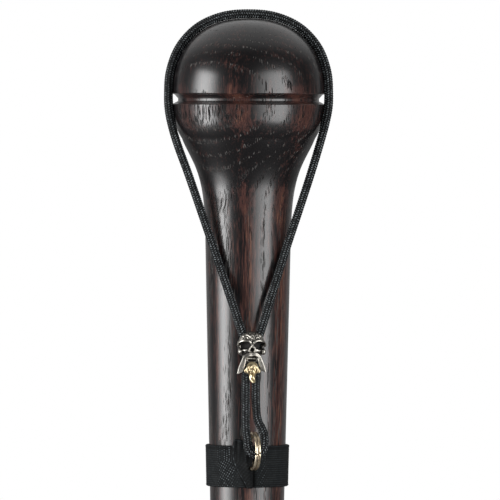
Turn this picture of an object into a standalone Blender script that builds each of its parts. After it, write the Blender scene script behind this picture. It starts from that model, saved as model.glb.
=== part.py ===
"""Walking cane with a turned ball knob, a braided wrist loop with a bead, and a rubber ferrule.

Metres, +Z up, front of the cane at -Y. The origin is the middle of the ferrule's sole.
"""

import math

import bmesh
import bpy
from mathutils import Matrix, Vector

# Fit and general sizes
GAP = 0.0003
CORD_DIAMETER = 0.003
STICK_STEPS = 48

# Stick: one turned piece with a ball knob, a concave neck and a tapering shaft
GROOVE_Z = 0.890
BALL_RADIUS = 0.0288
DOME_HEIGHT = 0.0298
DOME_POWER = 2.33
LOWER_BALL_HEIGHT = 0.030
GROOVE_HALF_WIDTH = 0.0026
GROOVE_BOTTOM_RADIUS = 0.0264
GROOVE_ROOT = 0.0006
LOWER_BALL_END = math.radians(23.1)
NECK_CURVE = ((0.02134, 0.86564), (0.01661, 0.86327), (0.01611, 0.84040))
TAPER_Z = 0.7414
TAPER_RADIUS = 0.01395
TAPER_SLOPE = 0.02185
TIP_RADIUS = 0.00975
TAPER_DECAY = 0.192

# Ferrule: a rubber cup with a steel washer under the end of the stick
SOLE_RADIUS = 0.017
FERRULE_TOP = 0.040
SOCKET_RADIUS = 0.01015
SOCKET_FLOOR = 0.009
WASHER_RADIUS = 0.0092
WASHER_THICKNESS = 0.0015
STICK_END = SOCKET_FLOOR + WASHER_THICKNESS + 2 * GAP

# Elastic band round the shaft, with its ends lapped and sewn at the back
BAND_TOP = 0.7600
BAND_BOTTOM = 0.7444
BAND_THICKNESS = 0.0011
BAND_LAP = 0.012
BAND_BULGE = 0.0019
BULGE_HALF_WIDTH = 0.0064
FOLD_TOP = 0.7621
FOLD_FOOT = BAND_BOTTOM - 0.0003
FOLD_SINK = 0.0003
CREVICE_CENTRE = (0.0014, -0.0175, 0.7487)
CREVICE_SIZE = (0.0007, 0.008, 0.0104)
THREAD = 0.0005

# Split ring: two turns of wire, standing nearly edge-on to the front
RING_CENTRE = Vector((0.0024, -0.0217, 0.7584))
RING_TURN = math.radians(14.5)
RING_RADIUS = 0.0067
RING_WIRE = 0.00094
RING_PITCH = 0.00136
RING_STEP = math.radians(8.0)
RING_END = math.radians(11.0)
RING_STEP_PLACE = math.radians(6.0)
RING_ROOM = 0.001

# Bead: it hangs on the two strands, a little turned and tilted
BEAD_CENTRE = Vector((0.0013, -0.0214, 0.7970))
STRAND_SLOPE = 0.082
BEAD_YAW = math.radians(5.0)

# Loop: it swings on the ring about an axis through its own bight, at rest against the knob
LOOP_PIVOT = Vector((0.0, -0.0246, 0.7575))
LOOP_AXIS_TURN = math.radians(9.0)

# Wrist cord: its centre line, from inside the bead over the knob and back to the bead
CORD_ROUTE = (
    (0.00322, -0.02147, 0.79610),
    (0.00395, -0.02114, 0.80020),
    (0.00480, -0.02093, 0.80270),
    (0.01010, -0.01590, 0.82010),
    (0.01430, -0.01225, 0.83380),
    (0.01890, -0.01095, 0.84780),
    (0.02320, -0.01000, 0.86110),
    (0.02700, -0.00822, 0.87380),
    (0.02895, -0.00692, 0.88110),
    (0.02995, -0.00598, 0.88640),
    (0.03012, -0.00520, 0.89130),
    (0.02949, -0.00378, 0.89966),
    (0.02601, -0.00218, 0.90896),
    (0.01916, -0.00090, 0.91639),
    (0.00993, -0.00018, 0.92056),
    (0.00000, 0.00000, 0.92160),
    (-0.00993, -0.00018, 0.92056),
    (-0.01916, -0.00090, 0.91639),
    (-0.02601, -0.00218, 0.90896),
    (-0.02949, -0.00378, 0.89966),
    (-0.03012, -0.00520, 0.89130),
    (-0.02990, -0.00598, 0.88600),
    (-0.02895, -0.00692, 0.88070),
    (-0.02680, -0.00831, 0.87330),
    (-0.02230, -0.01010, 0.86110),
    (-0.01760, -0.01120, 0.84760),
    (-0.01280, -0.01310, 0.83380),
    (-0.00810, -0.01630, 0.82010),
    (-0.00210, -0.02093, 0.80270),
    (-0.00115, -0.02116, 0.79990),
    (-0.00065, -0.02144, 0.79650),
    (-0.00060, -0.02222, 0.78700),
    (-0.00060, -0.02312, 0.77600),
    (-0.00062, -0.02366, 0.76950),
    (-0.00048, -0.02402, 0.76600),
    (-0.00010, -0.02430, 0.76330),
    (0.00010, -0.02450, 0.76110),
    (0.00050, -0.02462, 0.75930),
    (0.00150, -0.02468, 0.75795),
    (0.00305, -0.02470, 0.75740),
    (0.00465, -0.02466, 0.75785),
    (0.00590, -0.02450, 0.75930),
    (0.00640, -0.02430, 0.76160),
    (0.00635, -0.02404, 0.76430),
    (0.00540, -0.02378, 0.76690),
    (0.00400, -0.02350, 0.76960),
    (0.00328, -0.02308, 0.77400),
    (0.00310, -0.02222, 0.78700),
    (0.00313, -0.02184, 0.79160),
    (0.00320, -0.02151, 0.79570),
)

# Colours
WOOD = (0.055, 0.026, 0.020)
CORD_BLACK = (0.018, 0.023, 0.023)
ELASTIC_BLACK = (0.016, 0.020, 0.022)
RUBBER_BLACK = (0.020, 0.020, 0.021)
STEEL = (0.55, 0.56, 0.58)
PALE_GOLD = (0.72, 0.60, 0.42)
OLD_SILVER = (0.62, 0.60, 0.56)
BRASS = (0.78, 0.60, 0.30)


def clear_scene():
    for obj in list(bpy.data.objects):
        bpy.data.objects.remove(obj, do_unlink=True)


def new_collection(name):
    collection = bpy.data.collections.new(name)
    bpy.context.scene.collection.children.link(collection)
    return collection


def new_material(name, colour, roughness, metallic=0.0):
    material = bpy.data.materials.new(name)
    material.use_nodes = True
    shader = material.node_tree.nodes["Principled BSDF"]
    shader.inputs["Base Color"].default_value = (*colour, 1.0)
    shader.inputs["Roughness"].default_value = roughness
    shader.inputs["Metallic"].default_value = metallic
    material.diffuse_color = (*colour, 1.0)
    return material


def new_object(name, data, material=None, helper=False):
    """Links data as an object: among the parts, or among the cutters when it only shapes a part."""
    obj = bpy.data.objects.new(name, data)
    (CUTTERS if helper else PARTS).objects.link(obj)
    if helper:
        obj.hide_render = True
        obj.display_type = "WIRE"
    if material:
        data.materials.append(material)
    return obj


def mesh_from(bm, name):
    mesh = bpy.data.meshes.new(name)
    bm.normal_update()
    bm.to_mesh(mesh)
    bm.free()
    return mesh


def turned(name, profile, material, steps=STICK_STEPS):
    """A solid of revolution about Z. The profile is (radius, height), from its top down its outer side."""
    mesh = bpy.data.meshes.new(name)
    points = [(radius, 0.0, height) for radius, height in profile]
    mesh.from_pydata(points, [(i, i + 1) for i in range(len(points) - 1)], [])
    obj = new_object(name, mesh, material)
    screw = obj.modifiers.new("turn", "SCREW")
    screw.steps = steps
    screw.render_steps = steps
    screw.use_merge_vertices = True
    screw.merge_threshold = 0.00001
    screw.use_smooth_shade = True
    return obj


def new_empty(name, location, rotation):
    empty = bpy.data.objects.new(name, None)
    PARTS.objects.link(empty)
    empty.location = location
    empty.rotation_euler = rotation
    return empty


def hang_on(obj, parent):
    """Makes obj follow parent from the place where it is."""
    obj.parent = parent
    obj.matrix_parent_inverse = parent.matrix_basis.inverted()


def tube(name, points, diameter, material, resolution=2, radii=None, helper=False):
    """A round tube along points, with closed ends. radii scales the diameter at each point."""
    curve = bpy.data.curves.new(name, "CURVE")
    curve.dimensions = "3D"
    curve.bevel_depth = diameter / 2
    curve.bevel_resolution = resolution
    curve.use_fill_caps = True
    spline = curve.splines.new("POLY")
    spline.points.add(len(points) - 1)
    for i, point in enumerate(points):
        spline.points[i].co = (*point, 1.0)
        spline.points[i].radius = radii[i] if radii else 1.0
    return new_object(name, curve, material, helper)


def as_mesh(curve_object):
    """Makes a curve object a mesh with welded caps, so that it can be joined or cut."""
    bpy.context.view_layer.update()
    graph = bpy.context.evaluated_depsgraph_get()
    mesh = bpy.data.meshes.new_from_object(curve_object.evaluated_get(graph))
    bm = bmesh.new()
    bm.from_mesh(mesh)
    bmesh.ops.remove_doubles(bm, verts=bm.verts, dist=0.000001)
    bm.to_mesh(mesh)
    bm.free()
    name = curve_object.name
    obj = new_object(name + "_mesh", mesh, helper=True)
    obj.matrix_world = curve_object.matrix_world
    bpy.data.objects.remove(curve_object, do_unlink=True)
    return obj


def ellipsoid(name, centre, radii, parent, tilt=0.0, yaw=0.0, segments=12, rings=8):
    """A helper ellipsoid. tilt turns it about Y and yaw about Z, in degrees."""
    bm = bmesh.new()
    bmesh.ops.create_uvsphere(bm, u_segments=segments, v_segments=rings, radius=1.0)
    obj = new_object(name, mesh_from(bm, name), helper=True)
    obj.location = centre
    obj.scale = radii
    obj.rotation_euler = (0.0, math.radians(tilt), math.radians(yaw))
    obj.parent = parent
    return obj


def boolean(target, other, operation):
    modifier = target.modifiers.new(other.name, "BOOLEAN")
    modifier.object = other
    modifier.operation = operation
    modifier.solver = "EXACT"


def bezier(start, first, second, end, count):
    """count points along a cubic curve, without its start."""
    points = []
    for i in range(1, count + 1):
        t = i / count
        weights = ((1 - t) ** 3, 3 * (1 - t) ** 2 * t, 3 * (1 - t) * t * t, t**3)
        corners = (start, first, second, end)
        points.append(
            tuple(sum(w * c[axis] for w, c in zip(weights, corners)) for axis in (0, 1))
        )
    return points


def shaft_radius(z):
    """A straight taper under the neck, which fades out towards the tip."""
    if z > TAPER_Z:
        return TAPER_RADIUS + TAPER_SLOPE * (z - TAPER_Z)
    return TIP_RADIUS + (TAPER_RADIUS - TIP_RADIUS) * math.exp((z - TAPER_Z) / TAPER_DECAY)


def dome_point(angle):
    """A point of the knob's upper half, from the groove at 0 to the top at 90 degrees."""
    power = 2 / DOME_POWER
    radius = BALL_RADIUS * math.cos(angle) ** power
    return radius, GROOVE_Z + DOME_HEIGHT * math.sin(angle) ** power


def lower_ball_point(angle):
    radius = BALL_RADIUS * math.cos(angle)
    return radius, GROOVE_Z - LOWER_BALL_HEIGHT * math.sin(angle)


def stick_profile():
    steps = 18
    groove_top = math.asin((GROOVE_HALF_WIDTH / DOME_HEIGHT) ** (DOME_POWER / 2))
    groove_foot = math.asin(GROOVE_HALF_WIDTH / LOWER_BALL_HEIGHT)
    profile = [(0.0, GROOVE_Z + DOME_HEIGHT)]
    for i in range(steps):
        share = (i + 0.4) / (steps - 0.6)
        profile.append(dome_point(math.radians(90) * (1 - share) + groove_top * share))
    root = GROOVE_BOTTOM_RADIUS
    profile += [
        (root + GROOVE_ROOT / 2, GROOVE_Z + GROOVE_ROOT),
        (root, GROOVE_Z),
        (root + GROOVE_ROOT / 2, GROOVE_Z - GROOVE_ROOT),
    ]
    lower_steps = 5
    for i in range(lower_steps + 1):
        share = i / lower_steps
        profile.append(lower_ball_point(groove_foot * (1 - share) + LOWER_BALL_END * share))
    profile += bezier(profile[-1], *NECK_CURVE, 10)
    for z in (0.80, 0.76, 0.72, 0.67, 0.61, 0.54, 0.46, 0.37, 0.27, 0.16, 0.05):
        profile.append((shaft_radius(z), z))
    chamfer = 0.0006
    profile += [
        (shaft_radius(STICK_END), STICK_END + chamfer),
        (shaft_radius(STICK_END) - chamfer, STICK_END),
        (0.0, STICK_END),
    ]
    return profile


def make_stick():
    turned("stick", stick_profile(), new_material("dark_stained_ash", WOOD, 0.25))


def ferrule_profile():
    """From the socket's floor up its wall, over the lip and down to the treaded sole."""
    lip = 0.0014
    waist = 0.0136
    neck = waist - 0.0012
    tread_depth = 0.0015
    outside = [
        (0.0, SOCKET_FLOOR),
        (SOCKET_RADIUS, SOCKET_FLOOR),
        (SOCKET_RADIUS, FERRULE_TOP - 0.0006),
        (SOCKET_RADIUS + 0.0005, FERRULE_TOP),
        (SOCKET_RADIUS + lip, FERRULE_TOP),
        (SOCKET_RADIUS + lip + 0.0008, FERRULE_TOP - 0.0008),
        (neck + 0.0001, FERRULE_TOP - 0.0040),
        (neck - 0.0006, FERRULE_TOP - 0.0046),
        (neck - 0.0006, FERRULE_TOP - 0.0060),
        (neck + 0.0003, FERRULE_TOP - 0.0066),
        (waist, 0.0145),
        (waist - 0.0009, 0.0135),
        (waist - 0.0009, 0.0118),
        (waist + 0.0002, 0.0108),
        (SOLE_RADIUS - 0.0009, 0.0050),
        (SOLE_RADIUS, 0.0030),
        (SOLE_RADIUS, 0.0008),
        (SOLE_RADIUS - 0.0008, 0.0),
    ]
    tread = []
    for outer, inner in ((0.0136, 0.0114), (0.0088, 0.0066)):
        tread += [(outer, 0.0), (outer - 0.0003, tread_depth), (inner + 0.0003, tread_depth), (inner, 0.0)]
    return outside + tread + [(0.0, 0.0)]


def make_ferrule():
    turned("ferrule", ferrule_profile(), new_material("black_rubber", RUBBER_BLACK, 0.75), 40)
    foot = SOCKET_FLOOR + GAP
    top = foot + WASHER_THICKNESS
    edge = 0.0003
    profile = [
        (0.0, top),
        (WASHER_RADIUS - edge, top),
        (WASHER_RADIUS, top - edge),
        (WASHER_RADIUS, foot + edge),
        (WASHER_RADIUS - edge, foot),
        (0.0, foot),
    ]
    turned("ferrule_washer", profile, new_material("steel_washer", STEEL, 0.35, 1.0), 32)


def catmull_rom(route, per_span):
    """A smooth curve through every point of the route, densely sampled."""
    points = [Vector(p) for p in route]
    ends = [2 * points[0] - points[1], *points, 2 * points[-1] - points[-2]]
    dense = []
    for i in range(1, len(ends) - 2):
        p0, p1, p2, p3 = ends[i - 1 : i + 3]
        # Knots by the square root of each chord keep tight bends free of loops.
        t1 = math.sqrt((p1 - p0).length)
        t2 = t1 + math.sqrt((p2 - p1).length)
        t3 = t2 + math.sqrt((p3 - p2).length)
        for j in range(per_span):
            t = t1 + (t2 - t1) * j / per_span
            a1 = (t1 - t) / t1 * p0 + t / t1 * p1
            a2 = (t2 - t) / (t2 - t1) * p1 + (t - t1) / (t2 - t1) * p2
            a3 = (t3 - t) / (t3 - t2) * p2 + (t - t2) / (t3 - t2) * p3
            b1 = (t2 - t) / t2 * a1 + t / t2 * a2
            b2 = (t3 - t) / (t3 - t1) * a2 + (t - t1) / (t3 - t1) * a3
            dense.append((t2 - t) / (t2 - t1) * b1 + (t - t1) / (t2 - t1) * b2)
    dense.append(points[-1])
    return dense


def thin_out(dense, longest, share_of_bend):
    """Keeps points of a dense curve, closer together where it bends tightly."""
    kept = [dense[0]]
    travelled = 0.0
    for i in range(1, len(dense) - 1):
        travelled += (dense[i] - dense[i - 1]).length
        before = dense[i] - dense[i - 1]
        after = dense[i + 1] - dense[i]
        bend = before.angle(after, 0.0) / max(after.length, 1e-9)
        step = min(longest, share_of_bend / max(bend, 1e-9))
        if travelled >= step:
            kept.append(dense[i])
            travelled = 0.0
    if (dense[-1] - kept[-1]).length < 0.001:
        kept.pop()
    kept.append(dense[-1])
    return kept


def make_wrist_cord(pivot):
    points = thin_out(catmull_rom(CORD_ROUTE, 24), longest=0.0064, share_of_bend=0.30)
    material = new_material("black_braided_cord", CORD_BLACK, 0.8)
    hang_on(tube("wrist_cord", points, CORD_DIAMETER, material), pivot)
    length = sum((b - a).length for a, b in zip(points, points[1:]))
    print(f"wrist_cord: {len(points)} points, {length:.4f} m")


def ring_height(turn):
    """How far the wire stands along the ring's axis: one layer, a short step, the other layer."""
    step = (turn - 2 * math.pi) / RING_STEP
    step = max(-1.0, min(1.0, step))
    return RING_PITCH / 2 * math.sin(step * math.pi / 2)


def make_split_ring():
    """Two turns of wire in the ring's own frame, where X is its axis and -Y its front."""
    count = 58
    start = RING_END
    end = 4 * math.pi - RING_END
    turns = [start + (end - start) * i / (count - 1) for i in range(count)]
    # Points crowd into the step, where the wire changes layer.
    turns += [2 * math.pi + RING_STEP * share for share in (-1.0, -0.5, 0.0, 0.5, 1.0)]
    points = []
    for turn in sorted(turns):
        angle = turn + RING_STEP_PLACE
        y = -RING_RADIUS * math.cos(angle)
        z = -RING_RADIUS * math.sin(angle)
        points.append(Vector((ring_height(turn), y, z)))
    material = new_material("pale_gold_wire", PALE_GOLD, 0.25, 1.0)
    ring = tube("split_ring", points, RING_WIRE, material)
    ring.location = RING_CENTRE
    ring.rotation_euler = (0.0, 0.0, RING_TURN)
    # Points of one turn that lie near each other along the wire aren't a gap.
    same_stretch = 8
    least = min(
        (a - b).length
        for i, a in enumerate(points)
        for j, b in enumerate(points)
        if abs(i - j) > same_stretch
    )
    print(f"split_ring: least gap between turns {1000 * (least - RING_WIRE):.2f} mm")


def ring_envelope():
    """The room that the ring needs to turn in its own plane."""
    bpy.ops.mesh.primitive_torus_add(
        major_radius=RING_RADIUS,
        minor_radius=RING_ROOM,
        major_segments=40,
        minor_segments=12,
    )
    envelope = bpy.context.object
    envelope.name = "ring_envelope"
    for collection in list(envelope.users_collection):
        collection.objects.unlink(envelope)
    CUTTERS.objects.link(envelope)
    envelope.hide_render = True
    envelope.display_type = "WIRE"
    turn_flat_to_side = Matrix.Rotation(math.radians(90), 4, "Y")
    widen_along_axis = Matrix.Diagonal((1.0, 1.0, 1.5, 1.0))
    envelope.data.transform(turn_flat_to_side @ widen_along_axis)
    envelope.location = RING_CENTRE
    envelope.rotation_euler = (0.0, 0.0, RING_TURN)
    return envelope


def band_radius(angle, z):
    """The band's inner face. angle runs from the lap at the back, 0, right round to 2 pi."""
    radius = shaft_radius(z) + GAP
    across = (angle - math.pi) * radius
    if abs(across) < BULGE_HALF_WIDTH:
        radius += BAND_BULGE * (1 + math.cos(math.pi * across / BULGE_HALF_WIDTH)) / 2
    lap = BAND_LAP / 2 / radius
    ramp = 0.5
    climb = (angle - (2 * math.pi - lap - ramp)) / ramp
    climb = max(0.0, min(1.0, climb))
    smooth = climb * climb * (3 - 2 * climb)
    return radius + smooth * (BAND_THICKNESS + 1.2 * GAP)


def band_point(angle, z, stand_off=0.0):
    """angle 0 is the back, and pi the front."""
    radius = band_radius(angle, z) + stand_off
    return Vector((-radius * math.sin(angle), radius * math.cos(angle), z))


def wrapped_strip(name, columns, rows, place, thickness, material=None, helper=False):
    """A grid laid where place(u, v) says, u and v from 0 to 1, and thickened outwards."""
    bm = bmesh.new()
    bmesh.ops.create_grid(bm, x_segments=columns, y_segments=rows, size=0.5)
    for vert in bm.verts:
        vert.co = place(vert.co.x + 0.5, vert.co.y + 0.5)
    obj = new_object(name, mesh_from(bm, name), material, helper)
    solid = obj.modifiers.new("thickness", "SOLIDIFY")
    solid.thickness = thickness
    solid.offset = 1.0
    return obj


def band_fold():
    """The band's pinched fold: a flap that leans over to the left at its top."""
    left_top = -0.0054
    left_foot = -0.0010
    right = 0.0016
    drop_to_right = 0.0018
    corner_share = 0.35
    corner_drop = 0.0012

    def on_fold(u, v):
        left = left_foot + (left_top - left_foot) * v**0.7
        across = left + (right - left) * u
        corner = max(0.0, corner_share - u) / corner_share
        top = FOLD_TOP - drop_to_right * u - corner_drop * corner
        z = FOLD_FOOT + (top - FOLD_FOOT) * v
        angle = math.pi + across / shaft_radius(z)
        return band_point(angle, z, BAND_THICKNESS - FOLD_SINK)

    return wrapped_strip("band_fold", 7, 8, on_fold, BAND_THICKNESS + FOLD_SINK, helper=True)


def band_crevice():
    bm = bmesh.new()
    bmesh.ops.create_cube(bm, size=1.0)
    crevice = new_object("band_crevice", mesh_from(bm, "band_crevice"), helper=True)
    crevice.location = CREVICE_CENTRE
    crevice.scale = CREVICE_SIZE
    return crevice


def make_elastic_band():
    lap = BAND_LAP / 2 / (shaft_radius(BAND_TOP) + GAP)

    def on_band(u, v):
        angle = -lap + (2 * math.pi + 2 * lap) * u
        return band_point(angle, BAND_BOTTOM + (BAND_TOP - BAND_BOTTOM) * v)

    material = new_material("black_elastic", ELASTIC_BLACK, 0.85)
    band = wrapped_strip("elastic_band", 72, 4, on_band, BAND_THICKNESS, material)
    boolean(band, band_fold(), "UNION")
    boolean(band, ring_envelope(), "DIFFERENCE")
    boolean(band, band_crevice(), "DIFFERENCE")


def make_band_stitching():
    """One zigzag of thread up the lapped ends at the back."""
    corners = 13
    reach = 0.0024
    margin = 0.0012
    points = []
    for i in range(corners):
        z = BAND_BOTTOM + margin + (BAND_TOP - BAND_BOTTOM - 2 * margin) * i / (corners - 1)
        side = 1 if i % 2 else -1
        angle = 2 * math.pi + side * reach / shaft_radius(z)
        points.append(band_point(angle, z, BAND_THICKNESS + GAP + THREAD / 2))
    tube("band_stitching", points, THREAD, new_material("black_thread", CORD_BLACK, 0.7), resolution=1)


def make_strand_slot(axis):
    """The bead's passage for the two strands, open at both sides where they part at its top."""
    depth = CORD_DIAMETER + 2 * GAP
    right_side = (
        (0.00500, -0.0140),
        (0.00500, -0.0046),
        (0.00375, -0.0044),
        (0.00375, 0.0006),
        (0.00440, 0.0022),
        (0.00640, 0.0030),
        (0.00640, 0.0070),
    )
    left_side = tuple((-x, z) for x, z in reversed(right_side))
    outline = right_side + left_side
    curve = bpy.data.curves.new("strand_slot", "CURVE")
    curve.dimensions = "2D"
    curve.fill_mode = "BOTH"
    curve.extrude = depth / 2
    spline = curve.splines.new("POLY")
    spline.points.add(len(outline) - 1)
    spline.use_cyclic_u = True
    for point, (x, z) in zip(spline.points, outline):
        point.co = (x, z, 0.0, 1.0)
    slot = as_mesh(new_object("strand_slot", curve, helper=True))
    slot.data.transform(Matrix.Rotation(math.radians(90), 4, "X"))
    slot.parent = axis
    return slot


def solid_ellipsoid(name, centre, radii, segments, rings, material):
    """An ellipsoid that is a part itself, with its place in its mesh."""
    bm = bmesh.new()
    bmesh.ops.create_uvsphere(bm, u_segments=segments, v_segments=rings, radius=1.0)
    place = Matrix.Translation(centre) @ Matrix.Diagonal((*radii, 1.0))
    bmesh.ops.transform(bm, matrix=place, verts=bm.verts)
    return new_object(name, mesh_from(bm, name), material)


def moustache_half(side, skull):
    """One drooping end of the moustache, from under the nose to its tip."""
    half = (
        (-0.0004, -0.0048, -0.0030),
        (0.0013, -0.0049, -0.0030),
        (0.0025, -0.0047, -0.0040),
        (0.0031, -0.0045, -0.0060),
        (0.0038, -0.0044, -0.0080),
        (0.0046, -0.0043, -0.0098),
    )
    route = [(side * x, y, z) for x, y, z in half]
    thickness = (0.6, 0.8, 1.0, 0.95, 0.8, 0.45)
    hair = as_mesh(tube("moustache", route, 0.0017, None, radii=thickness, helper=True))
    hair.parent = skull
    return hair


def make_skull_bead(axis):
    """A skull of its own drawing: round crown, brow, cheekbones and a drooping moustache."""
    material = new_material("old_silver", OLD_SILVER, 0.35, 1.0)
    crown_centre = (0.0, 0.0, 0.0009)
    crown_radii = (0.0052, 0.0051, 0.0048)
    skull = solid_ellipsoid("skull_bead", crown_centre, crown_radii, 28, 18, material)
    skull.parent = axis
    skull.rotation_euler = (0.0, 0.0, BEAD_YAW)

    jaw = ellipsoid("jaw", (0.0, -0.0003, -0.0030), (0.0045, 0.0045, 0.0041), skull, segments=20, rings=14)
    bridge = ellipsoid("nose_bridge", (0.0, -0.0046, 0.0008), (0.0009, 0.0009, 0.0019), skull)
    boolean(skull, jaw, "UNION")
    boolean(skull, bridge, "UNION")
    for side in (-1, 1):
        brow_centre = (side * 0.0025, -0.0038, 0.0019)
        cheek_centre = (side * 0.0034, -0.0028, -0.0017)
        brow = ellipsoid("brow", brow_centre, (0.0029, 0.0010, 0.0008), skull, side * 5, side * 33)
        cheek = ellipsoid("cheek", cheek_centre, (0.0021, 0.0013, 0.0010), skull, side * 18, side * 46)
        boolean(skull, brow, "UNION")
        boolean(skull, cheek, "UNION")
    for side in (-1, 1):
        centre = (side * 0.0025, -0.0052, 0.0)
        socket = ellipsoid("socket", centre, (0.0020, 0.0026, 0.0013), skull, side * 6, side * 18)
        boolean(skull, socket, "DIFFERENCE")
    hollows = (
        ("nose_hole", (0.0, -0.0053, -0.0014), (0.0008, 0.0016, 0.0011)),
        ("mouth", (0.0, -0.0054, -0.0046), (0.0025, 0.0019, 0.0009)),
        ("chin_seat", (0.0, -0.0047, -0.0070), (0.0027, 0.0023, 0.0018)),
    )
    for name, centre, radii in hollows:
        boolean(skull, ellipsoid(name, centre, radii, skull), "DIFFERENCE")
    for side in (-1, 1):
        boolean(skull, moustache_half(side, skull), "UNION")
    boolean(skull, make_strand_slot(axis), "DIFFERENCE")


def make_bead_beard(axis):
    """A short brass plait under the chin, with a curl at each side and a tuft at its end."""
    depth = -0.0047
    material = new_material("brass", BRASS, 0.3, 1.0)
    core_centre = (0.0, depth, -0.0088)
    core_radii = (0.0021, 0.0013, 0.0031)
    beard = solid_ellipsoid("bead_beard", core_centre, core_radii, 16, 10, material)
    beard.parent = axis
    beard.rotation_euler = (0.0, 0.0, BEAD_YAW)
    plait_widths = (0.0017, 0.0017, 0.0015, 0.0012)
    plait_top = -0.0080
    plait_step = 0.0012
    for i, width in enumerate(plait_widths):
        side = 1 if i % 2 else -1
        centre = (side * 0.0005, depth - 0.0003, plait_top - plait_step * i)
        lobe = ellipsoid("plait", centre, (width, 0.0013, 0.0010), beard, side * 30)
        boolean(beard, lobe, "UNION")
    for side in (-1, 1):
        centre = (side * 0.0021, depth + 0.0002, -0.0092)
        curl = ellipsoid("curl", centre, (0.0010, 0.0010, 0.0014), beard, side * -20)
        boolean(beard, curl, "UNION")
    tuft = ellipsoid("tuft", (0.0, depth, -0.0124), (0.0013, 0.0010, 0.0014), beard)
    boolean(beard, tuft, "UNION")


clear_scene()
PARTS = new_collection("walking_cane")
CUTTERS = new_collection("cutters")
make_stick()
make_ferrule()
make_elastic_band()
make_band_stitching()
make_split_ring()
loop_pivot = new_empty("loop_pivot", LOOP_PIVOT, (0.0, 0.0, LOOP_AXIS_TURN))
make_wrist_cord(loop_pivot)
bead_axis = new_empty("bead_axis", BEAD_CENTRE, (-math.atan(STRAND_SLOPE), 0.0, 0.0))
hang_on(bead_axis, loop_pivot)
make_skull_bead(bead_axis)
make_bead_beard(bead_axis)
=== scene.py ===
"""Looks of the walking cane: turned wood, braided wrist loop, cast bead, ring, elastic and rubber.

Metres, +Z up, front of the cane at -Y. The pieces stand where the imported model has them.
"""

import math

import bmesh
import bpy
import numpy as np
from mathutils import Matrix, Vector


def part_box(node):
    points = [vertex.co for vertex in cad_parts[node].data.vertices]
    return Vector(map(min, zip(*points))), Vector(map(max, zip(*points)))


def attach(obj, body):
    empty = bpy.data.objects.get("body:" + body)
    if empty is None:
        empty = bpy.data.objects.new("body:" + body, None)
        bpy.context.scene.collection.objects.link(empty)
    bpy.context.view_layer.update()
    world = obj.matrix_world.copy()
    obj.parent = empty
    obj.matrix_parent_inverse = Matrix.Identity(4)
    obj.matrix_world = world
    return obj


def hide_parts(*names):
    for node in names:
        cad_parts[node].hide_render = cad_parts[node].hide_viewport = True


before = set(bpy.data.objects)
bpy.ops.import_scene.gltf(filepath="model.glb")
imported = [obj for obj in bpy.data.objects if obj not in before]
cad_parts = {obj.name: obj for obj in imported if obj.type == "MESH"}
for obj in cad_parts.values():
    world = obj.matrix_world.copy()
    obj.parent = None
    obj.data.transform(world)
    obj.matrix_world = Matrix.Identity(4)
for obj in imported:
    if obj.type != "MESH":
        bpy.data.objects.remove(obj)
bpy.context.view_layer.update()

MM = 0.001
GAP = 0.3 * MM

# Picture: a long lens, level with the groove and aimed a little lower
PICTURE_WIDTH = 0.1875
CAMERA_DISTANCE = 3.0
CAMERA_ROLL = math.radians(0.20)
SENSOR = 36.0
AIM = Vector((0.00074, 0.0, 0.8329))

# Studio: the world's brightness, to rough surfaces and, by direction, to glossy ones
FILL = 0.30
OVERHEAD = 0.55
BEHIND = 0.25
BELOW = 0.14
IN_FRONT = 0.03
LAMP_DISTANCE = 1.4
LAMP_END_FADE = 0.12
FLOOR_RADIUS = 12.0
FLOOR_COLOUR = (0.80, 0.80, 0.80)

# Stick, the same turned outline as the solid's
GROOVE_Z = 0.890
BALL_RADIUS = 0.0288
KNOB_POWER = 2.33
DOME_HEIGHT = 0.0298
LOWER_BALL_HEIGHT = 0.0263
LOWER_BALL_END = math.radians(32.0)
GROOVE_BOTTOM_RADIUS = 0.0264
UPPER_LIP = 0.0019
UPPER_LIP_ROUND = ((0.00002, -0.0004), (-0.0005, -0.0006), (-0.0011, -0.0008))
GROOVE_WALL = (-0.00035, -0.0013)
WALL_SLOPE = 0.00003
LOWER_LIP = 0.0025
LIP = 0.00022
NECK_CURVE = ((0.02134, 0.86564), (0.01661, 0.86327), (0.01611, 0.84040))
TAPER_Z = 0.7414
TAPER_RADIUS = 0.01395
TAPER_SLOPE = 0.02185
TIP_RADIUS = 0.00975
TAPER_DECAY = 0.192
TIP_CHAMFER = 0.0006
STICK_SIDES = 160
# Profiles stop just short of the axis
NEAR_AXIS = 0.0005

# Heights on the stick, in millimetres, over which its looks change
WAIST_FOOT = (853.0, 861.0)
WAIST_TOP = (881.0, 875.5)
DOME_FOOT = (892.5, 897.0)
DOME_COOLS = (896.0, 900.0)
SHAFT_TOP = (858.0, 838.0)
VARNISH_WEARS = (735.0, 810.0)

# Growth rings of the stick: their pith runs inside it, and leans within the knob
PITH = (0.0056, 0.00775)
PITH_LEAN = (-0.080, -0.052)
PITH_LEAN_REACH = 0.060
RING_SPACING = 0.00207
RING_SHIFT = 0.30
# The outermost ring shows as a broad porous patch, just under the groove
WIDE_RING = (0.03812, 0.03822, 0.0402, 0.0406)
GROOVE_SHIFT = 0.0011
OPEN_LATE_WOOD = 0.0368
# Red-brown zones of the stain: angle from the front, half width, strength
WARM_ZONES = (
    (-5, 9, 1.0),
    (47, 13, 0.95),
    (-55, 8, 0.55),
    (112, 20, 0.7),
    (-140, 16, 0.8),
)

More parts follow.
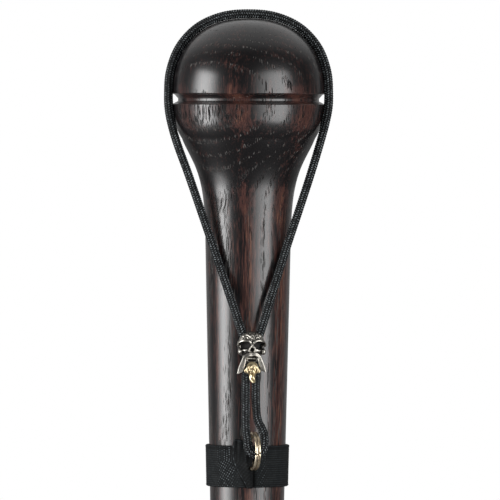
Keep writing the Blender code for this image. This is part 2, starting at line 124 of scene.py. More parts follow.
# Colours
STAIN_BLACK = (0.0038, 0.0032, 0.0038)
STAIN_RED = (0.050, 0.0195, 0.0160)
STAIN_HOT = (0.135, 0.060, 0.036)
OPEN_PORE = (0.0018, 0.0016, 0.0018)
PALE_PORE = (0.105, 0.100, 0.094)
# The cord's and the elastic's shade colours are painted shade in the hollows of their weave, and their glint
# colours are painted highlights on its crowns.
CORD_PAINTED_SHADE = (0.0003, 0.0004, 0.0005)
CORD_CROWN = (0.0085, 0.0100, 0.0112)
CORD_GLINT = (0.200, 0.222, 0.232)
ELASTIC_PAINTED_SHADE = (0.0005, 0.0008, 0.0010)
ELASTIC_CROWN = (0.0095, 0.0124, 0.0140)
ELASTIC_GLINT = (0.135, 0.155, 0.163)
ELASTIC_LINT = (0.0045, 0.0058, 0.0066)
# Metals: bright, and dull in their hollows
PALE_GOLD = ((0.85, 0.74, 0.56), (0.44, 0.30, 0.14))
OLD_SILVER = ((0.63, 0.60, 0.54), (0.014, 0.012, 0.011))
BRASS = ((0.86, 0.73, 0.47), (0.17, 0.105, 0.04))
METAL_ROUGHNESS = 0.30

# Ferrule
SOLE_RADIUS = 0.017
FERRULE_TOP = 0.040
SOCKET_RADIUS = 0.01015
SOCKET_FLOOR = 0.009

# Elastic band round the shaft
BAND_TOP = 0.7600
BAND_BOTTOM = 0.7444
BAND_THICKNESS = 0.0011
BAND_LAP = 0.012
BAND_LAP_RAMP = 0.5
BAND_BULGE = 0.0019
BULGE_HALF_WIDTH = 0.0064
FLAP_TOP = 0.7631
FLAP_FULLEST = 0.7525
FLAP_FOOT = BAND_BOTTOM - 0.0002
# The flap's underside goes this far into the band
FLAP_SINK = 0.00015
# Beside the flap, a crevice across the band, and a ridge
CREVICE_X = 0.0016
CREVICE_TOP = 0.7575
CREVICE_DEPTH = 0.0005
RIDGE_X = 0.0034
RIDGE_HEIGHT = 0.0009
RIB_PITCH = 0.00082
COLUMN_PITCH = 0.00098
COLUMN_SLANT = 0.6
SLANT_BELOW = BAND_TOP - 0.0055
DOT_PITCH = 0.00086
WARP_PITCH = 0.0006
SELVEDGE = 0.00105
SELVEDGE_LINE = 0.00013
ROLLED_EDGE = 0.00009
WEAVE_RELIEF = 0.00013
INSIDE_CROWN = 0.3
THREAD = 0.0005
THREAD_TWIST = 0.0011
THREAD_STEP = 0.00008

# Split ring
RING_CENTRE = Vector((0.0024, -0.0217, 0.7584))
RING_TURN = math.radians(14.5)
RING_RADIUS = 0.0067
RING_WIRE = 0.00098
RING_WIDTH = 0.00100
WIRE_SQUARENESS = 2.4
RING_PITCH = 0.00118
RING_STEP = math.radians(2.0)
RING_END = math.radians(2.6)
RING_ROOM = 0.0009
RING_ROOM_STRETCH = 1.7
RING_STEP_PLACE = math.radians(6.0)

# Bead on the two strands
BEAD_CENTRE = Vector((0.0013, -0.0214, 0.7970))
STRAND_SLOPE = 0.082
BEAD_YAW = math.radians(5.0)
ENGRAVING = 0.00034
CAVITY_REACH = 6
# The shapes of the bead and its beard are in millimetres, in the bead's own frame
BEAD_FRONT_Y = -1.0
# Painted shade that makes the silver blacker, in the sockets, under them and over the crown: across, height,
# half width, half height, how much
BEAD_SHADOWS = (
    (-2.8, 0.4, 2.4, 1.5, 0.5),
    (2.8, 0.4, 2.4, 1.5, 0.5),
    (-2.5, -2.0, 1.7, 1.1, 0.16),
    (2.5, -2.0, 1.7, 1.1, 0.16),
    (0.0, 4.4, 4.2, 2.0, 0.16),
)
# Right half of the passage for the two strands, wider where they part at the top
STRAND_SLOT = ((5.0, -14.0), (5.0, -4.6), (3.75, -4.4), (3.75, 0.6), (4.4, 2.2), (6.4, 3.0), (6.4, 7.0))
BEARD_Y = -4.7
# Brass stays brighter in its hollows
BEARD_TARNISH = -0.16

# Wrist cord: braided over a core, its length that of the route below
CORD_DIAMETER = 0.003
BRAID_YARNS = 8
BRAID_LEAD = 0.0072
BRAID_RELIEF = 0.00020
BRAID_FULLNESS = 0.00012
CORD_SIDES = 64
CORD_STEP = 0.000246
# Pressed on the knob, the cord's underside goes flat
FLATTEN_WITHIN = 0.00042
FLATTEN_REACH = 0.0008
FLATTEN_DOWN_TO = -0.012
TOUCH = 0.00003
CORD_ROUTE = (
    (0.00322, -0.02147, 0.79610),
    (0.00395, -0.02114, 0.80020),
    (0.00480, -0.02093, 0.80270),
    (0.01010, -0.01590, 0.82010),
    (0.01430, -0.01225, 0.83380),
    (0.01890, -0.01095, 0.84780),
    (0.02320, -0.01000, 0.86110),
    (0.02700, -0.00822, 0.87380),
    (0.02895, -0.00692, 0.88110),
    (0.02995, -0.00598, 0.88640),
    (0.03012, -0.00520, 0.89130),
    (0.02949, -0.00378, 0.89966),
    (0.02601, -0.00218, 0.90896),
    (0.01916, -0.00090, 0.91639),
    (0.00993, -0.00018, 0.92056),
    (0.00000, 0.00000, 0.92160),
    (-0.00993, -0.00018, 0.92056),
    (-0.01916, -0.00090, 0.91639),
    (-0.02601, -0.00218, 0.90896),
    (-0.02949, -0.00378, 0.89966),
    (-0.03012, -0.00520, 0.89130),
    (-0.02990, -0.00598, 0.88600),
    (-0.02895, -0.00692, 0.88070),
    (-0.02680, -0.00831, 0.87330),
    (-0.02230, -0.01010, 0.86110),
    (-0.01760, -0.01120, 0.84760),
    (-0.01280, -0.01310, 0.83380),
    (-0.00810, -0.01630, 0.82010),
    (-0.00210, -0.02093, 0.80270),
    (-0.00115, -0.02116, 0.79990),
    (-0.00065, -0.02144, 0.79650),
    (-0.00060, -0.02222, 0.78700),
    (-0.00060, -0.02312, 0.77600),
    (-0.00062, -0.02366, 0.76950),
    (-0.00048, -0.02402, 0.76600),
    (-0.00010, -0.02430, 0.76330),
    (0.00010, -0.02450, 0.76110),
    (0.00050, -0.02462, 0.75930),
    (0.00150, -0.02468, 0.75795),
    (0.00305, -0.02470, 0.75740),
    (0.00465, -0.02466, 0.75785),
    (0.00590, -0.02450, 0.75930),
    (0.00640, -0.02430, 0.76160),
    (0.00635, -0.02404, 0.76430),
    (0.00540, -0.02378, 0.76690),
    (0.00400, -0.02350, 0.76960),
    (0.00328, -0.02308, 0.77400),
    (0.00310, -0.02222, 0.78700),
    (0.00313, -0.02184, 0.79160),
    (0.00320, -0.02151, 0.79570),
)


class Value:
    """A result in a node tree. Arithmetic with it adds the nodes that work it out."""

    def __init__(self, nodes, socket):
        self.nodes = nodes
        self.socket = socket

    def maths(self, operation, *others):
        return self.nodes.maths(operation, self, *others)

    def __add__(self, other):
        return self.maths("ADD", other)

    def __sub__(self, other):
        return self.maths("SUBTRACT", other)

    def __rsub__(self, other):
        return self.nodes.maths("SUBTRACT", other, self)

    def __mul__(self, other):
        return self.maths("MULTIPLY", other)

    def __truediv__(self, other):
        return self.maths("DIVIDE", other)

    def fade(self, low, high, to_low=0.0, to_high=1.0):
        """Eased from one result at low to the other at high, and kept between the two."""
        values = {"Value": self, "From Min": low, "From Max": high, "To Min": to_low, "To Max": to_high}
        return self.nodes.node("ShaderNodeMapRange", "Result", values, interpolation_type="SMOOTHSTEP")

    def between(self, none, full):
        """One result where this is 0, eased to the other where it is 1."""
        return self.fade(0.0, 1.0, none, full)


class Nodes:
    """A node tree in the making. What goes into a socket is a number, a tuple or a Value."""

    def __init__(self, tree, shader):
        self.tree = tree
        self.shader = tree.nodes[shader]

    def surface(self, socket, value):
        self.connect(value, self.shader.inputs[socket])

    def connect(self, value, socket):
        if isinstance(value, Value):
            self.tree.links.new(value.socket, socket)
        else:
            socket.default_value = (*value, 1.0) if socket.type == "RGBA" else value

    def node(self, kind, results, values=None, **settings):
        """Adds a node. results is the name of its output, or a tuple of several names."""
        made = self.tree.nodes.new(kind)
        for key, value in settings.items():
            setattr(made, key, value)
        for socket, value in (values or {}).items():
            self.connect(value, made.inputs[socket])
        if isinstance(results, str):
            return Value(self, made.outputs[results])
        return [Value(self, made.outputs[name]) for name in results]

    def maths(self, operation, *values):
        return self.node("ShaderNodeMath", "Value", dict(enumerate(values)), operation=operation)

    def parts(self, vector):
        return self.node("ShaderNodeSeparateXYZ", ("X", "Y", "Z"), {"Vector": vector})

    def vector(self, x, y, z=0.0):
        return self.node("ShaderNodeCombineXYZ", "Vector", {"X": x, "Y": y, "Z": z})

    def length(self, x, y):
        return self.node("ShaderNodeVectorMath", "Value", {0: self.vector(x, y)}, operation="LENGTH")


class Painter(Nodes):
    """Builds the nodes of one material."""

    def __init__(self, name):
        self.material = bpy.data.materials.new(name)
        self.material.use_nodes = True
        super().__init__(self.material.node_tree, "Principled BSDF")

    def place(self):
        """Where a point of the surface is, in millimetres."""
        spot = self.node("ShaderNodeTexCoord", "Object")
        return self.node("ShaderNodeVectorMath", "Vector", {0: spot, "Scale": 1 / MM}, operation="SCALE")

    def noise(self, vector, scale, detail=2.0, roughness=0.5):
        values = {"Vector": vector, "Scale": scale, "Detail": detail, "Roughness": roughness}
        return self.node("ShaderNodeTexNoise", "Fac", values)

    def mix(self, share, first, second):
        values = {"Factor": share, "A": first, "B": second}
        return self.node("ShaderNodeMix", "Result", values, data_type="RGBA")

    def attribute(self, name):
        return self.node("ShaderNodeAttribute", "Fac", attribute_name=name)

    def bump(self, height, distance, strength=1.0, under=None):
        values = {"Height": height, "Distance": distance, "Strength": strength}
        if under is not None:
            values["Normal"] = under
        return self.node("ShaderNodeBump", "Normal", values)


def wood_material():
    """Ring-porous wood, stained nearly black, its open pores long along the grain, under a satin varnish."""
    paint = Painter("dark_stained_ash")
    place = paint.place()
    x, y, z = paint.parts(place)
    waist = z.fade(*WAIST_FOOT) * z.fade(*WAIST_TOP)
    up_dome = z.fade(*DOME_FOOT)
    shaft = z.fade(*SHAFT_TOP)
    early = early_wood(paint, x, y, z)
    along_grain = paint.node("ShaderNodeMapping", "Vector", {"Vector": place, "Scale": (1.0, 1.0, 0.05)})
    fine = paint.noise(along_grain, 3.0, 3.0, 0.65)
    # Less red and darker on the waist under the knob: partly the end grain's darker stain, partly painted
    # shade. The top of the dome is less red too.
    warm = warm_zones(x, y, z) * up_dome.between(1.0, 0.25) * waist.between(1.0, 0.35)
    cool = waist * 0.12 + z.fade(*DOME_COOLS, 0.0, 0.07)
    stain = wood_stain(paint, along_grain, fine, shaft, warm * 0.50 + early * 0.08 - cool)

    _, _, lean = paint.parts(paint.node("ShaderNodeNewGeometry", "Normal"))
    steepness = lean.maths("ABSOLUTE")
    on_dome = up_dome * steepness.fade(0.10, 0.30)
    end_grain = steepness.fade(0.24, 0.50).maths("MAXIMUM", on_dome)
    pore, tone = pores(paint, x, y, z, early, end_grain)
    # Pale pores: on the end grain, and along the shaft as painted glints at the pores' edges.
    pale_pores = end_grain.maths("MAXIMUM", shaft * 0.45) * tone.fade(0.05, 0.55)
    paint.surface("Base Color", paint.mix(pore, stain, paint.mix(pale_pores, OPEN_PORE, PALE_PORE)))
    paint.surface("Roughness", pore.between(0.38, 0.9))
    paint.surface("Specular IOR Level", 0.3)
    # The varnish is thin on the end grain under the knob, and worn satin lower down the shaft.
    paint.surface("Coat Weight", pore.fade(0.0, 0.7, 1.0, 0.0) * waist.between(1.0, 0.25))
    paint.surface("Coat Roughness", z.fade(*VARNISH_WEARS, 0.30, 0.17))
    dents = paint.bump(pore, -0.00010, 0.8)
    paint.surface("Normal", paint.bump(fine, 0.00002, 0.35, dents))
    paint.surface("Coat Normal", paint.bump(fine, 0.00001, 0.25))
    return paint.material


def wood_stain(paint, along_grain, fine, shaft, warmth):
    """Black, red, then hot red as the warmth rises. Streaks along the grain vary it, most on the shaft."""
    broad = paint.noise(along_grain, 0.12, 2.0)
    streak = paint.noise(along_grain, 1.0, 4.0, 0.65)
    warmth = warmth + broad * 0.5 + 1.45
    warmth = warmth + (streak - 0.5) * shaft.between(1.5, 2.1) + (fine - 0.5) * shaft.between(1.4, 2.6)
    stain = paint.mix(warmth.fade(1.74, 2.20), STAIN_BLACK, STAIN_RED)
    return paint.mix(warmth.fade(2.20, 2.75), stain, STAIN_HOT)


def early_wood(paint, x, y, z):
    """Where the porous band of each growth ring is, from 0 to 1."""
    height = z - GROOVE_Z / MM
    reach = PITH_LEAN_REACH / MM
    lean = (height / reach).maths("TANH")
    off_x, off_y = (
        side - centre / MM - lean * (slope * reach) for side, centre, slope in zip((x, y), PITH, PITH_LEAN)
    )
    low = paint.vector(x, y, z * 0.22)
    wander = (paint.noise(low, 0.045, 2.0) - 0.5) * height.fade(-60.0, -100.0, 0.5, 4.5)
    ragged = paint.noise(low, 0.6, 3.0, 0.7) - 0.5
    ragged = ragged * height.fade(2.0, 8.0, 1.6, 0.5) * height.fade(-14.0, -8.0, 0.5, 1.0)
    span = paint.length(off_x, off_y) + wander + ragged
    phase = (span / (RING_SPACING / MM) + RING_SHIFT).maths("FRACT")
    late_wood = OPEN_LATE_WOOD / MM
    narrow = phase.fade(0.22, 0.30) * phase.fade(0.78, 0.46) * span.fade(late_wood, late_wood - 0.3)
    outer = span + height.fade(2.0, -2.0, 0.0, GROOVE_SHIFT / MM)
    begin, full, ending, gone = (value / MM for value in WIDE_RING)
    return narrow.maths("MAXIMUM", outer.fade(begin, full) * outer.fade(gone, ending))


def warm_zones(x, y, z):
    """Where the stain is redder, from 0 to 1. Its zones swing a little to the left up the knob."""
    swing = math.radians(8)
    angle = x.maths("ARCTAN2", y * -1.0) + z.fade(889.0, 892.0, 0.0, swing) - z.fade(858.0, 835.0, 0.0, swing)
    inside = 0.0
    for centre, half_width, strength in WARM_ZONES:
        away = (angle - math.radians(centre)) / math.radians(half_width)
        inside = (away * away * -1.0).maths("EXPONENT") * strength + inside
    return inside


def pores(paint, x, y, z, early, end_grain):
    """Vessels cut open by the turning, long up the grain: a mask, and a random tone for each of them."""
    across = x.maths("ARCTAN2", y * -1.0) * z.fade(835.0, 862.0, 15.5, 26.0)
    stretched = paint.vector(across * 2.7, paint.length(x, y) * 0.95, z * 0.20)
    values = {"Vector": stretched, "Scale": 1.0}
    distance, lot = paint.node("ShaderNodeTexVoronoi", ("Distance", "Color"), values)
    chance, tone = paint.node("ShaderNodeSeparateColor", ("Red", "Green"), {"Color": lot})
    in_late_wood = 0.10
    radius = early * (end_grain.between(0.43, 0.32) - in_late_wood) + in_late_wood
    pore = (distance - radius).fade(0.05, -0.05)
    kept = (chance + early * 0.75).maths("GREATER_THAN", end_grain.between(0.70, 0.98))
    return pore * kept, tone


def cord_material():
    """Black nylon braid with a green cast, with painted shade in the hollows between its yarns and painted
    glints on some of their crowns.
    """
    paint = Painter("black_braided_cord")
    around = paint.attribute("around")
    along = paint.attribute("along")
    left, right = around + along, around - along
    crown, across = braid_nodes(left, right)
    speckle = paint.noise(paint.place(), 0.55, 2.0, 0.6)
    cell = left.maths("FLOOR") + right.maths("FLOOR") * 57.0
    lot = paint.node("ShaderNodeTexWhiteNoise", "Value", {"W": cell}, noise_dimensions="1D")
    # Painted shade darkens the hollows of the braid, and painted glints lighten some of its crowns.
    shade = paint.mix(crown.fade(0.20, 0.85), CORD_PAINTED_SHADE, CORD_CROWN)
    glint = crown.fade(0.58, 0.92) * lot.fade(0.15, 0.60, 0.25) * speckle.fade(0.36, 0.60, 0.3)
    paint.surface("Base Color", paint.mix(glint, shade, CORD_GLINT))
    paint.surface("Roughness", speckle.fade(0.3, 0.7, 0.5, 0.7))
    paint.surface("Specular IOR Level", 0.22)
    filaments = (across * (2 * math.pi * 5)).maths("SINE")
    paint.surface("Normal", paint.bump(filaments, 0.00002, 0.5, paint.bump(crown, 0.00022)))
    return paint.material


def braid_nodes(left, right):
    """The braid's relief from its two sets of yarns, where each goes over two and under two."""
    row_left = left.maths("FLOOR")
    row_right = right.maths("FLOOR")
    over = (row_left + row_right).maths("FLOORED_MODULO", 4.0).maths("LESS_THAN", 2.0)
    under = 1.0 - over

    def choose(first, second):
        return first * over + second * under

    across = choose(left.maths("FRACT"), right.maths("FRACT"))
    along_left = (row_left + right).maths("FLOORED_MODULO", 4.0)
    along_right = (row_right + left).maths("FLOORED_MODULO", 4.0) - 2.0
    length = choose(along_left, along_right) * 0.5
    swell = (length * math.pi).maths("SINE") * 0.75 + 0.25
    return (across * math.pi).maths("SINE") * swell, across


def elastic_material():
    """Black woven elastic, matt, with painted shade in the valleys of its weave and painted glints on some
    crowns of its picks.
    """
    paint = Painter("black_elastic")
    crown = paint.attribute("crown")
    place = paint.place()
    mottle = paint.noise(place, 0.35, 3.0, 0.6)
    speckle = paint.noise(place, 1.3)
    # Painted shade darkens the valleys of the weave, and painted glints lighten some of its crowns.
    shade = paint.mix(crown.fade(0.2, 0.9), ELASTIC_PAINTED_SHADE, ELASTIC_CROWN)
    shade = paint.mix(crown.fade(0.70, 0.95) * speckle.fade(0.42, 0.60), shade, ELASTIC_GLINT)
    paint.surface("Base Color", paint.mix(mottle.fade(0.45, 0.75, 0.0, 0.25), shade, ELASTIC_LINT))
    paint.surface("Roughness", mottle.fade(0.3, 0.7, 0.76, 0.92))
    paint.surface("Specular IOR Level", 0.25)
    hair = paint.noise(place, 9.0, 2.0, 0.6)
    paint.surface("Normal", paint.bump(hair, 0.00002, 0.6))
    return paint.material


def thread_material():
    paint = Painter("black_thread")
    ply = paint.noise(paint.place(), 6.0)
    paint.surface("Base Color", paint.mix(ply, (0.008, 0.009, 0.010), (0.030, 0.034, 0.036)))
    paint.surface("Roughness", 0.6)
    paint.surface("Sheen Weight", 0.2)
    paint.surface("Normal", paint.bump(ply, 0.00004, 0.6))
    return paint.material


def metal_material(name, bright, dull, cast=True):
    """Metal in two tones. A casting is darkened in its hollows and worn bright on its high places."""
    paint = Painter(name)
    place = paint.place()
    grain = paint.noise(place, 1.6, 3.0, 0.6)
    smear = paint.noise(place, 0.35)
    worn = tuple(0.55 * b + 0.45 * d for b, d in zip(bright, dull))
    shade = paint.mix(smear.fade(0.35, 0.7), bright, worn)
    if cast:
        deep = paint.attribute("cavity") + (grain - 0.5) * 0.25
        shade = paint.mix(deep.fade(0.36, 0.60), shade, dull)
        paint.surface("Roughness", deep.fade(0.36, 0.7, METAL_ROUGHNESS, 0.75))
        paint.surface("Metallic", deep.fade(0.45, 0.75, 1.0, 0.3))
    else:
        paint.surface("Roughness", grain.fade(0.3, 0.7, METAL_ROUGHNESS * 0.8, METAL_ROUGHNESS * 1.35))
        paint.surface("Metallic", 1.0)
    paint.surface("Base Color", shade)
    paint.surface("Normal", paint.bump(grain, 0.00002, 0.5))
    return paint.material


def rubber_material():
    """Matt black rubber, dusty, and scuffed near the floor."""
    paint = Painter("black_rubber")
    place = paint.place()
    dust = paint.noise(place, 0.25, 4.0, 0.65)
    _, _, z = paint.parts(place)
    scuff = z.fade(9.0, 0.0) * dust.fade(0.42, 0.62) * 0.6
    shade = paint.mix(dust.fade(0.35, 0.7), (0.013, 0.013, 0.014), (0.022, 0.022, 0.023))
    paint.surface("Base Color", paint.mix(scuff, shade, (0.060, 0.056, 0.050)))
    paint.surface("Roughness", dust.fade(0.3, 0.7, 0.58, 0.78))
    paint.surface("Normal", paint.bump(paint.noise(place, 5.0), 0.00005, 0.35))
    return paint.material


def steel_material():
    paint = Painter("washer_steel")
    grain = paint.noise(paint.place(), 3.0, 3.0)
    paint.surface("Base Color", paint.mix(grain, (0.42, 0.43, 0.45), (0.62, 0.62, 0.63)))
    paint.surface("Roughness", grain.fade(0.3, 0.7, 0.28, 0.5))
    paint.surface("Metallic", 1.0)
    return paint.material


def floor_material():
    paint = Painter("pale_floor")
    paint.surface("Base Color", FLOOR_COLOUR)
    paint.surface("Roughness", 0.9)
    return paint.material


def add_object(name, data):
    obj = bpy.data.objects.new(name, data)
    bpy.context.scene.collection.objects.link(obj)
    return obj


def mesh_from(bm, name):
    mesh = bpy.data.meshes.new(name)
    bm.to_mesh(mesh)
    bm.free()
    return mesh


def add_attribute(mesh, name, domain, values):
    layer = mesh.attributes.new(name, "FLOAT", domain)
    layer.data.foreach_set("value", np.asarray(values, np.float32))


def read(items, name, size=1, kind=np.int32):
    """One property of all the items, in rows if it has more than one number."""
    values = np.empty(len(items) * size, kind)
    items.foreach_get(name, values)
    return values.reshape(-1, size) if size > 1 else values


def places_of(obj):
    return read(obj.data.vertices, "co", 3, float)


def set_places(obj, places):
    obj.data.vertices.foreach_set("co", places.astype(np.float32).ravel())
    obj.data.update()


def apply_modifiers(obj):
    bpy.context.view_layer.update()
    graph = bpy.context.evaluated_depsgraph_get()
    mesh = bpy.data.meshes.new_from_object(obj.evaluated_get(graph))
    obj.modifiers.clear()
    obj.data = mesh
    return obj


def cut_away(piece, cutter, solver):
    """Takes the cutter's shape out of the piece, and then the cutter out of the scene."""
    cut = piece.modifiers.new("cut", "BOOLEAN")
    cut.object = cutter
    cut.operation = "DIFFERENCE"
    cut.solver = solver
    apply_modifiers(piece)
    bpy.data.objects.remove(cutter)


def add_rings(bm, rings):
    """Adds a skin over rings of points, shaped (rings, sides, 3), with a fan over each end."""
    count, sides, _ = rings.shape
    verts = [bm.verts.new(p) for p in (*rings.reshape(-1, 3), rings[0].mean(0), rings[-1].mean(0))]
    steps = [(j, (j + 1) % sides) for j in range(sides)]
    last = (count - 1) * sides
    faces = [(i + j, i + k, i + sides + k, i + sides + j) for i in range(0, last, sides) for j, k in steps]
    for j, k in steps:
        faces += [(last + sides, k, j), (last + sides + 1, last + j, last + k)]
    for face in faces:
        bm.faces.new([verts[i] for i in face])


def from_rings(name, rings, material, crown=None):
    """A smooth piece from rings of points, its faces turned outwards. crown is a value per point."""
    bm = bmesh.new()
    add_rings(bm, rings)
    bmesh.ops.recalc_face_normals(bm, faces=bm.faces)
    mesh = mesh_from(bm, name)
    mesh.shade_smooth()
    if crown is not None:
        add_attribute(mesh, "crown", "POINT", np.append(crown, (0.0, 0.0)))
    mesh.materials.append(material)
    return add_object(name, mesh)


def around(angle, radius, z):
    """Points round the stick: angle 0 is the back, and pi the front."""
    return np.stack([-radius * np.sin(angle), radius * np.cos(angle), z + 0 * angle], axis=-1)


def turned(name, profile, sides, material):
    """A solid of revolution about Z, from a profile of (radius, height) that doesn't touch the axis."""
    radius, height = np.array(profile).T[:, :, None]
    return from_rings(name, around(circle(sides) + math.pi, radius, height), material)


def circle(sides):
    return np.linspace(0, 2 * math.pi, sides, endpoint=False)


def bell(away, width, power=2):
    """1 in the middle, and down to nothing on both sides."""
    return np.exp(-((away / width) ** power))


def ripple(phase):
    """0 at each whole number, and 1 halfway between."""
    return np.abs(np.sin(math.pi * phase))


def ease(share):
    share = np.clip(share, 0, 1)
    return share * share * (3 - 2 * share)


def bezier(start, first, second, end, count):
    """count points along a cubic curve, without its start."""
    t = np.arange(1, count + 1)[:, None] / count
    start, first, second, end = (np.array(p) for p in (start, first, second, end))
    curve = (1 - t) ** 3 * start + 3 * (1 - t) ** 2 * t * first + 3 * (1 - t) * t * t * second + t**3 * end
    return curve.tolist()


def taper_radius(z):
    """The straight taper of the upper shaft."""
    return TAPER_RADIUS + TAPER_SLOPE * (z - TAPER_Z)


def shaft_radius(z):
    """The straight taper, which fades out towards the tip."""
    if z > TAPER_Z:
        return taper_radius(z)
    return TIP_RADIUS + (TAPER_RADIUS - TIP_RADIUS) * math.exp((z - TAPER_Z) / TAPER_DECAY)


def knob_point(angle, height):
    """A point of the knob's outline, above the groove or, with a negative height, below it."""
    power = 2 / KNOB_POWER
    return BALL_RADIUS * math.cos(angle) ** power, GROOVE_Z + height * math.sin(angle) ** power


def lip_points(before, corner, after):
    """A small round in place of a corner."""
    before, corner, after = (np.array(p) for p in (before, corner, after))
    start = corner + (before - corner) / np.linalg.norm(before - corner) * LIP
    end = corner + (after - corner) / np.linalg.norm(after - corner) * LIP
    t = np.linspace(0, 1, 6)[:, None]
    return ((1 - t) ** 2 * start + 2 * t * (1 - t) * corner + t * t * end).tolist()


def groove_profile(upper_lip, lower_lip, below):
    """A rounded upper lip, a plain wall at the bottom, and a sharp lower lip."""
    edge = knob_point(upper_lip, DOME_HEIGHT)
    high, low = GROOVE_WALL
    wall_top = (GROOVE_BOTTOM_RADIUS, GROOVE_Z + high)
    wall_foot = (GROOVE_BOTTOM_RADIUS + WALL_SLOPE, GROOVE_Z + low)
    lip = knob_point(lower_lip, -LOWER_BALL_HEIGHT)
    profile = bezier(edge, *((edge[0] + out, edge[1] + up) for out, up in UPPER_LIP_ROUND), 10)
    profile += lip_points(profile[-1], wall_top, wall_foot)
    profile += lip_points(wall_top, wall_foot, lip)
    return profile + lip_points(wall_foot, lip, knob_point(below, -LOWER_BALL_HEIGHT))


def stick_profile(stick_end):
    """From the top of the dome, through the groove and the neck, down to the tip."""
    upper_lip = math.asin((UPPER_LIP / DOME_HEIGHT) ** (KNOB_POWER / 2))
    lower_lip = math.asin((LOWER_LIP / LOWER_BALL_HEIGHT) ** (KNOB_POWER / 2))
    below = lower_lip * 1.4
    profile = []
    dome_steps = 80
    for i in range(dome_steps):
        share = 1 - (1 - (i + 0.15) / dome_steps) ** 1.25
        profile.append(knob_point(math.radians(90) * (1 - share) + upper_lip * share, DOME_HEIGHT))
    profile += groove_profile(upper_lip, lower_lip, below)
    ball_steps = 24
    for i in range(ball_steps + 1):
        share = (i / ball_steps) ** 1.3
        profile.append(knob_point(below * (1 - share) + LOWER_BALL_END * share, -LOWER_BALL_HEIGHT))
    profile += bezier(profile[-1], *NECK_CURVE, 40)
    foot = NECK_CURVE[-1][1]
    shaft_steps = 48
    for i in range(1, shaft_steps):
        z = foot + (stick_end + 0.001 - foot) * i / shaft_steps
        profile.append((shaft_radius(z), z))
    tip = shaft_radius(stick_end)
    return profile + [(tip, stick_end + TIP_CHAMFER), (tip - TIP_CHAMFER, stick_end), (NEAR_AXIS, stick_end)]


def make_stick():
    low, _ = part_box("stick")
    stick = turned("turned_stick", stick_profile(low.z), STICK_SIDES, wood_material())
    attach(stick, "cane")
    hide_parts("stick")


def points_from(radius, height, *offsets):
    """Points of a profile, from their offsets in millimetres."""
    return [(radius + out * MM, height + up * MM) for out, up in offsets]


def ferrule_profile():
    """From the socket's floor up its wall, over the lip and down to the treaded sole."""
    lip = SOCKET_RADIUS + 0.0014
    waist = 0.0136
    neck = waist - 0.0012
    tread = 1.5
    profile = [(NEAR_AXIS, SOCKET_FLOOR), (SOCKET_RADIUS, SOCKET_FLOOR)]
    profile += points_from(SOCKET_RADIUS, FERRULE_TOP, (0, -0.6), (0.2, -0.2), (0.5, 0))
    profile += points_from(lip, FERRULE_TOP, (-0.2, 0), (0.3, -0.2), (0.8, -0.8), (0.9, -2.0))
    profile += points_from(neck, FERRULE_TOP, (0.1, -4.0), (-0.4, -4.3), (-0.6, -4.8))
    profile += points_from(neck, FERRULE_TOP, (-0.6, -5.8), (-0.3, -6.4), (0.3, -6.6))
    profile += points_from(waist, 0, (0, 14.8), (-0.3, 14.0), (-0.9, 13.5))
    profile += points_from(waist, 0, (-0.9, 11.8), (-0.5, 11.1), (0.2, 10.8))
    profile += points_from(SOLE_RADIUS, 0, (-0.9, 5.0), (-0.2, 4.2), (0, 3.0))
    profile += points_from(SOLE_RADIUS, 0, (0, 0.8), (-0.2, 0.3), (-0.8, 0))
    for outer, inner in ((0.0136, 0.0114), (0.0088, 0.0066)):
        profile += points_from(outer, 0, (0, 0), (-0.3, tread)) + points_from(inner, 0, (0.3, tread), (0, 0))
    return profile + [(NEAR_AXIS, 0.0)]


def make_ferrule():
    ferrule = turned("moulded_ferrule", ferrule_profile(), 128, rubber_material())
    ferrule.data.set_sharp_from_angle(angle=math.radians(50))
    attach(ferrule, "cane")
    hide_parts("ferrule")
    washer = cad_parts["ferrule_washer"]
    washer.data.materials.clear()
    washer.data.materials.append(steel_material())


def blend(t, start, end, first, second):
    """first where t is start, second where it is end, and straight on between and beyond them."""
    return ((end - t) * first + (t - start) * second) / (end - start)


def catmull_rom(route, per_span):
    """A smooth curve through every point of the route, densely sampled."""
    route = np.array(route)
    points = np.array([2 * route[0] - route[1], *route, 2 * route[-1] - route[-2]])
    # Knots by the square root of each chord keep tight bends free of loops.
    knots = np.sqrt(np.linalg.norm(np.diff(points, axis=0), axis=1))
    dense = []
    for i in range(len(route) - 1):
        p0, p1, p2, p3 = points[i : i + 4]
        t1, t2, t3 = np.cumsum(knots[i : i + 3])
        t = np.linspace(t1, t2, per_span, endpoint=False)[:, None]
        a1, a2, a3 = blend(t, 0, t1, p0, p1), blend(t, t1, t2, p1, p2), blend(t, t2, t3, p2, p3)
        dense.append(blend(t, t1, t2, blend(t, 0, t2, a1, a2), blend(t, t1, t3, a2, a3)))
    return np.concatenate([*dense, route[-1:]])


def evenly(line, step):
    """The line again with points step apart, and how far along it each one is."""
    along = np.concatenate([[0], np.cumsum(np.linalg.norm(np.diff(line, axis=0), axis=1))])
    at = np.linspace(0, along[-1], round(along[-1] / step) + 1)
    return np.stack([np.interp(at, along, line[:, k]) for k in range(3)], axis=1), at


def frames_along(line):
    """Two directions across the line at each point, which don't twist from one to the next."""
    ahead = np.gradient(line, axis=0)
    ahead /= np.linalg.norm(ahead, axis=1)[:, None]
    side = np.cross(ahead[0], (0.0, 1.0, 0.0))
    sides = []
    for direction in ahead:
        side = side - direction * side.dot(direction)
        side = side / np.linalg.norm(side)
        sides.append(side)
    sides = np.array(sides)
    return sides, np.cross(ahead, sides)


def swept(line, radius, sides):
    """Rings of points round the line. radius has the shape (points, sides), or (points, 1)."""
    across, up = (directions[:, None] for directions in frames_along(line))
    turn = circle(sides)[:, None]
    return line[:, None] + (across * np.cos(turn) + up * np.sin(turn)) * radius[:, :, None]


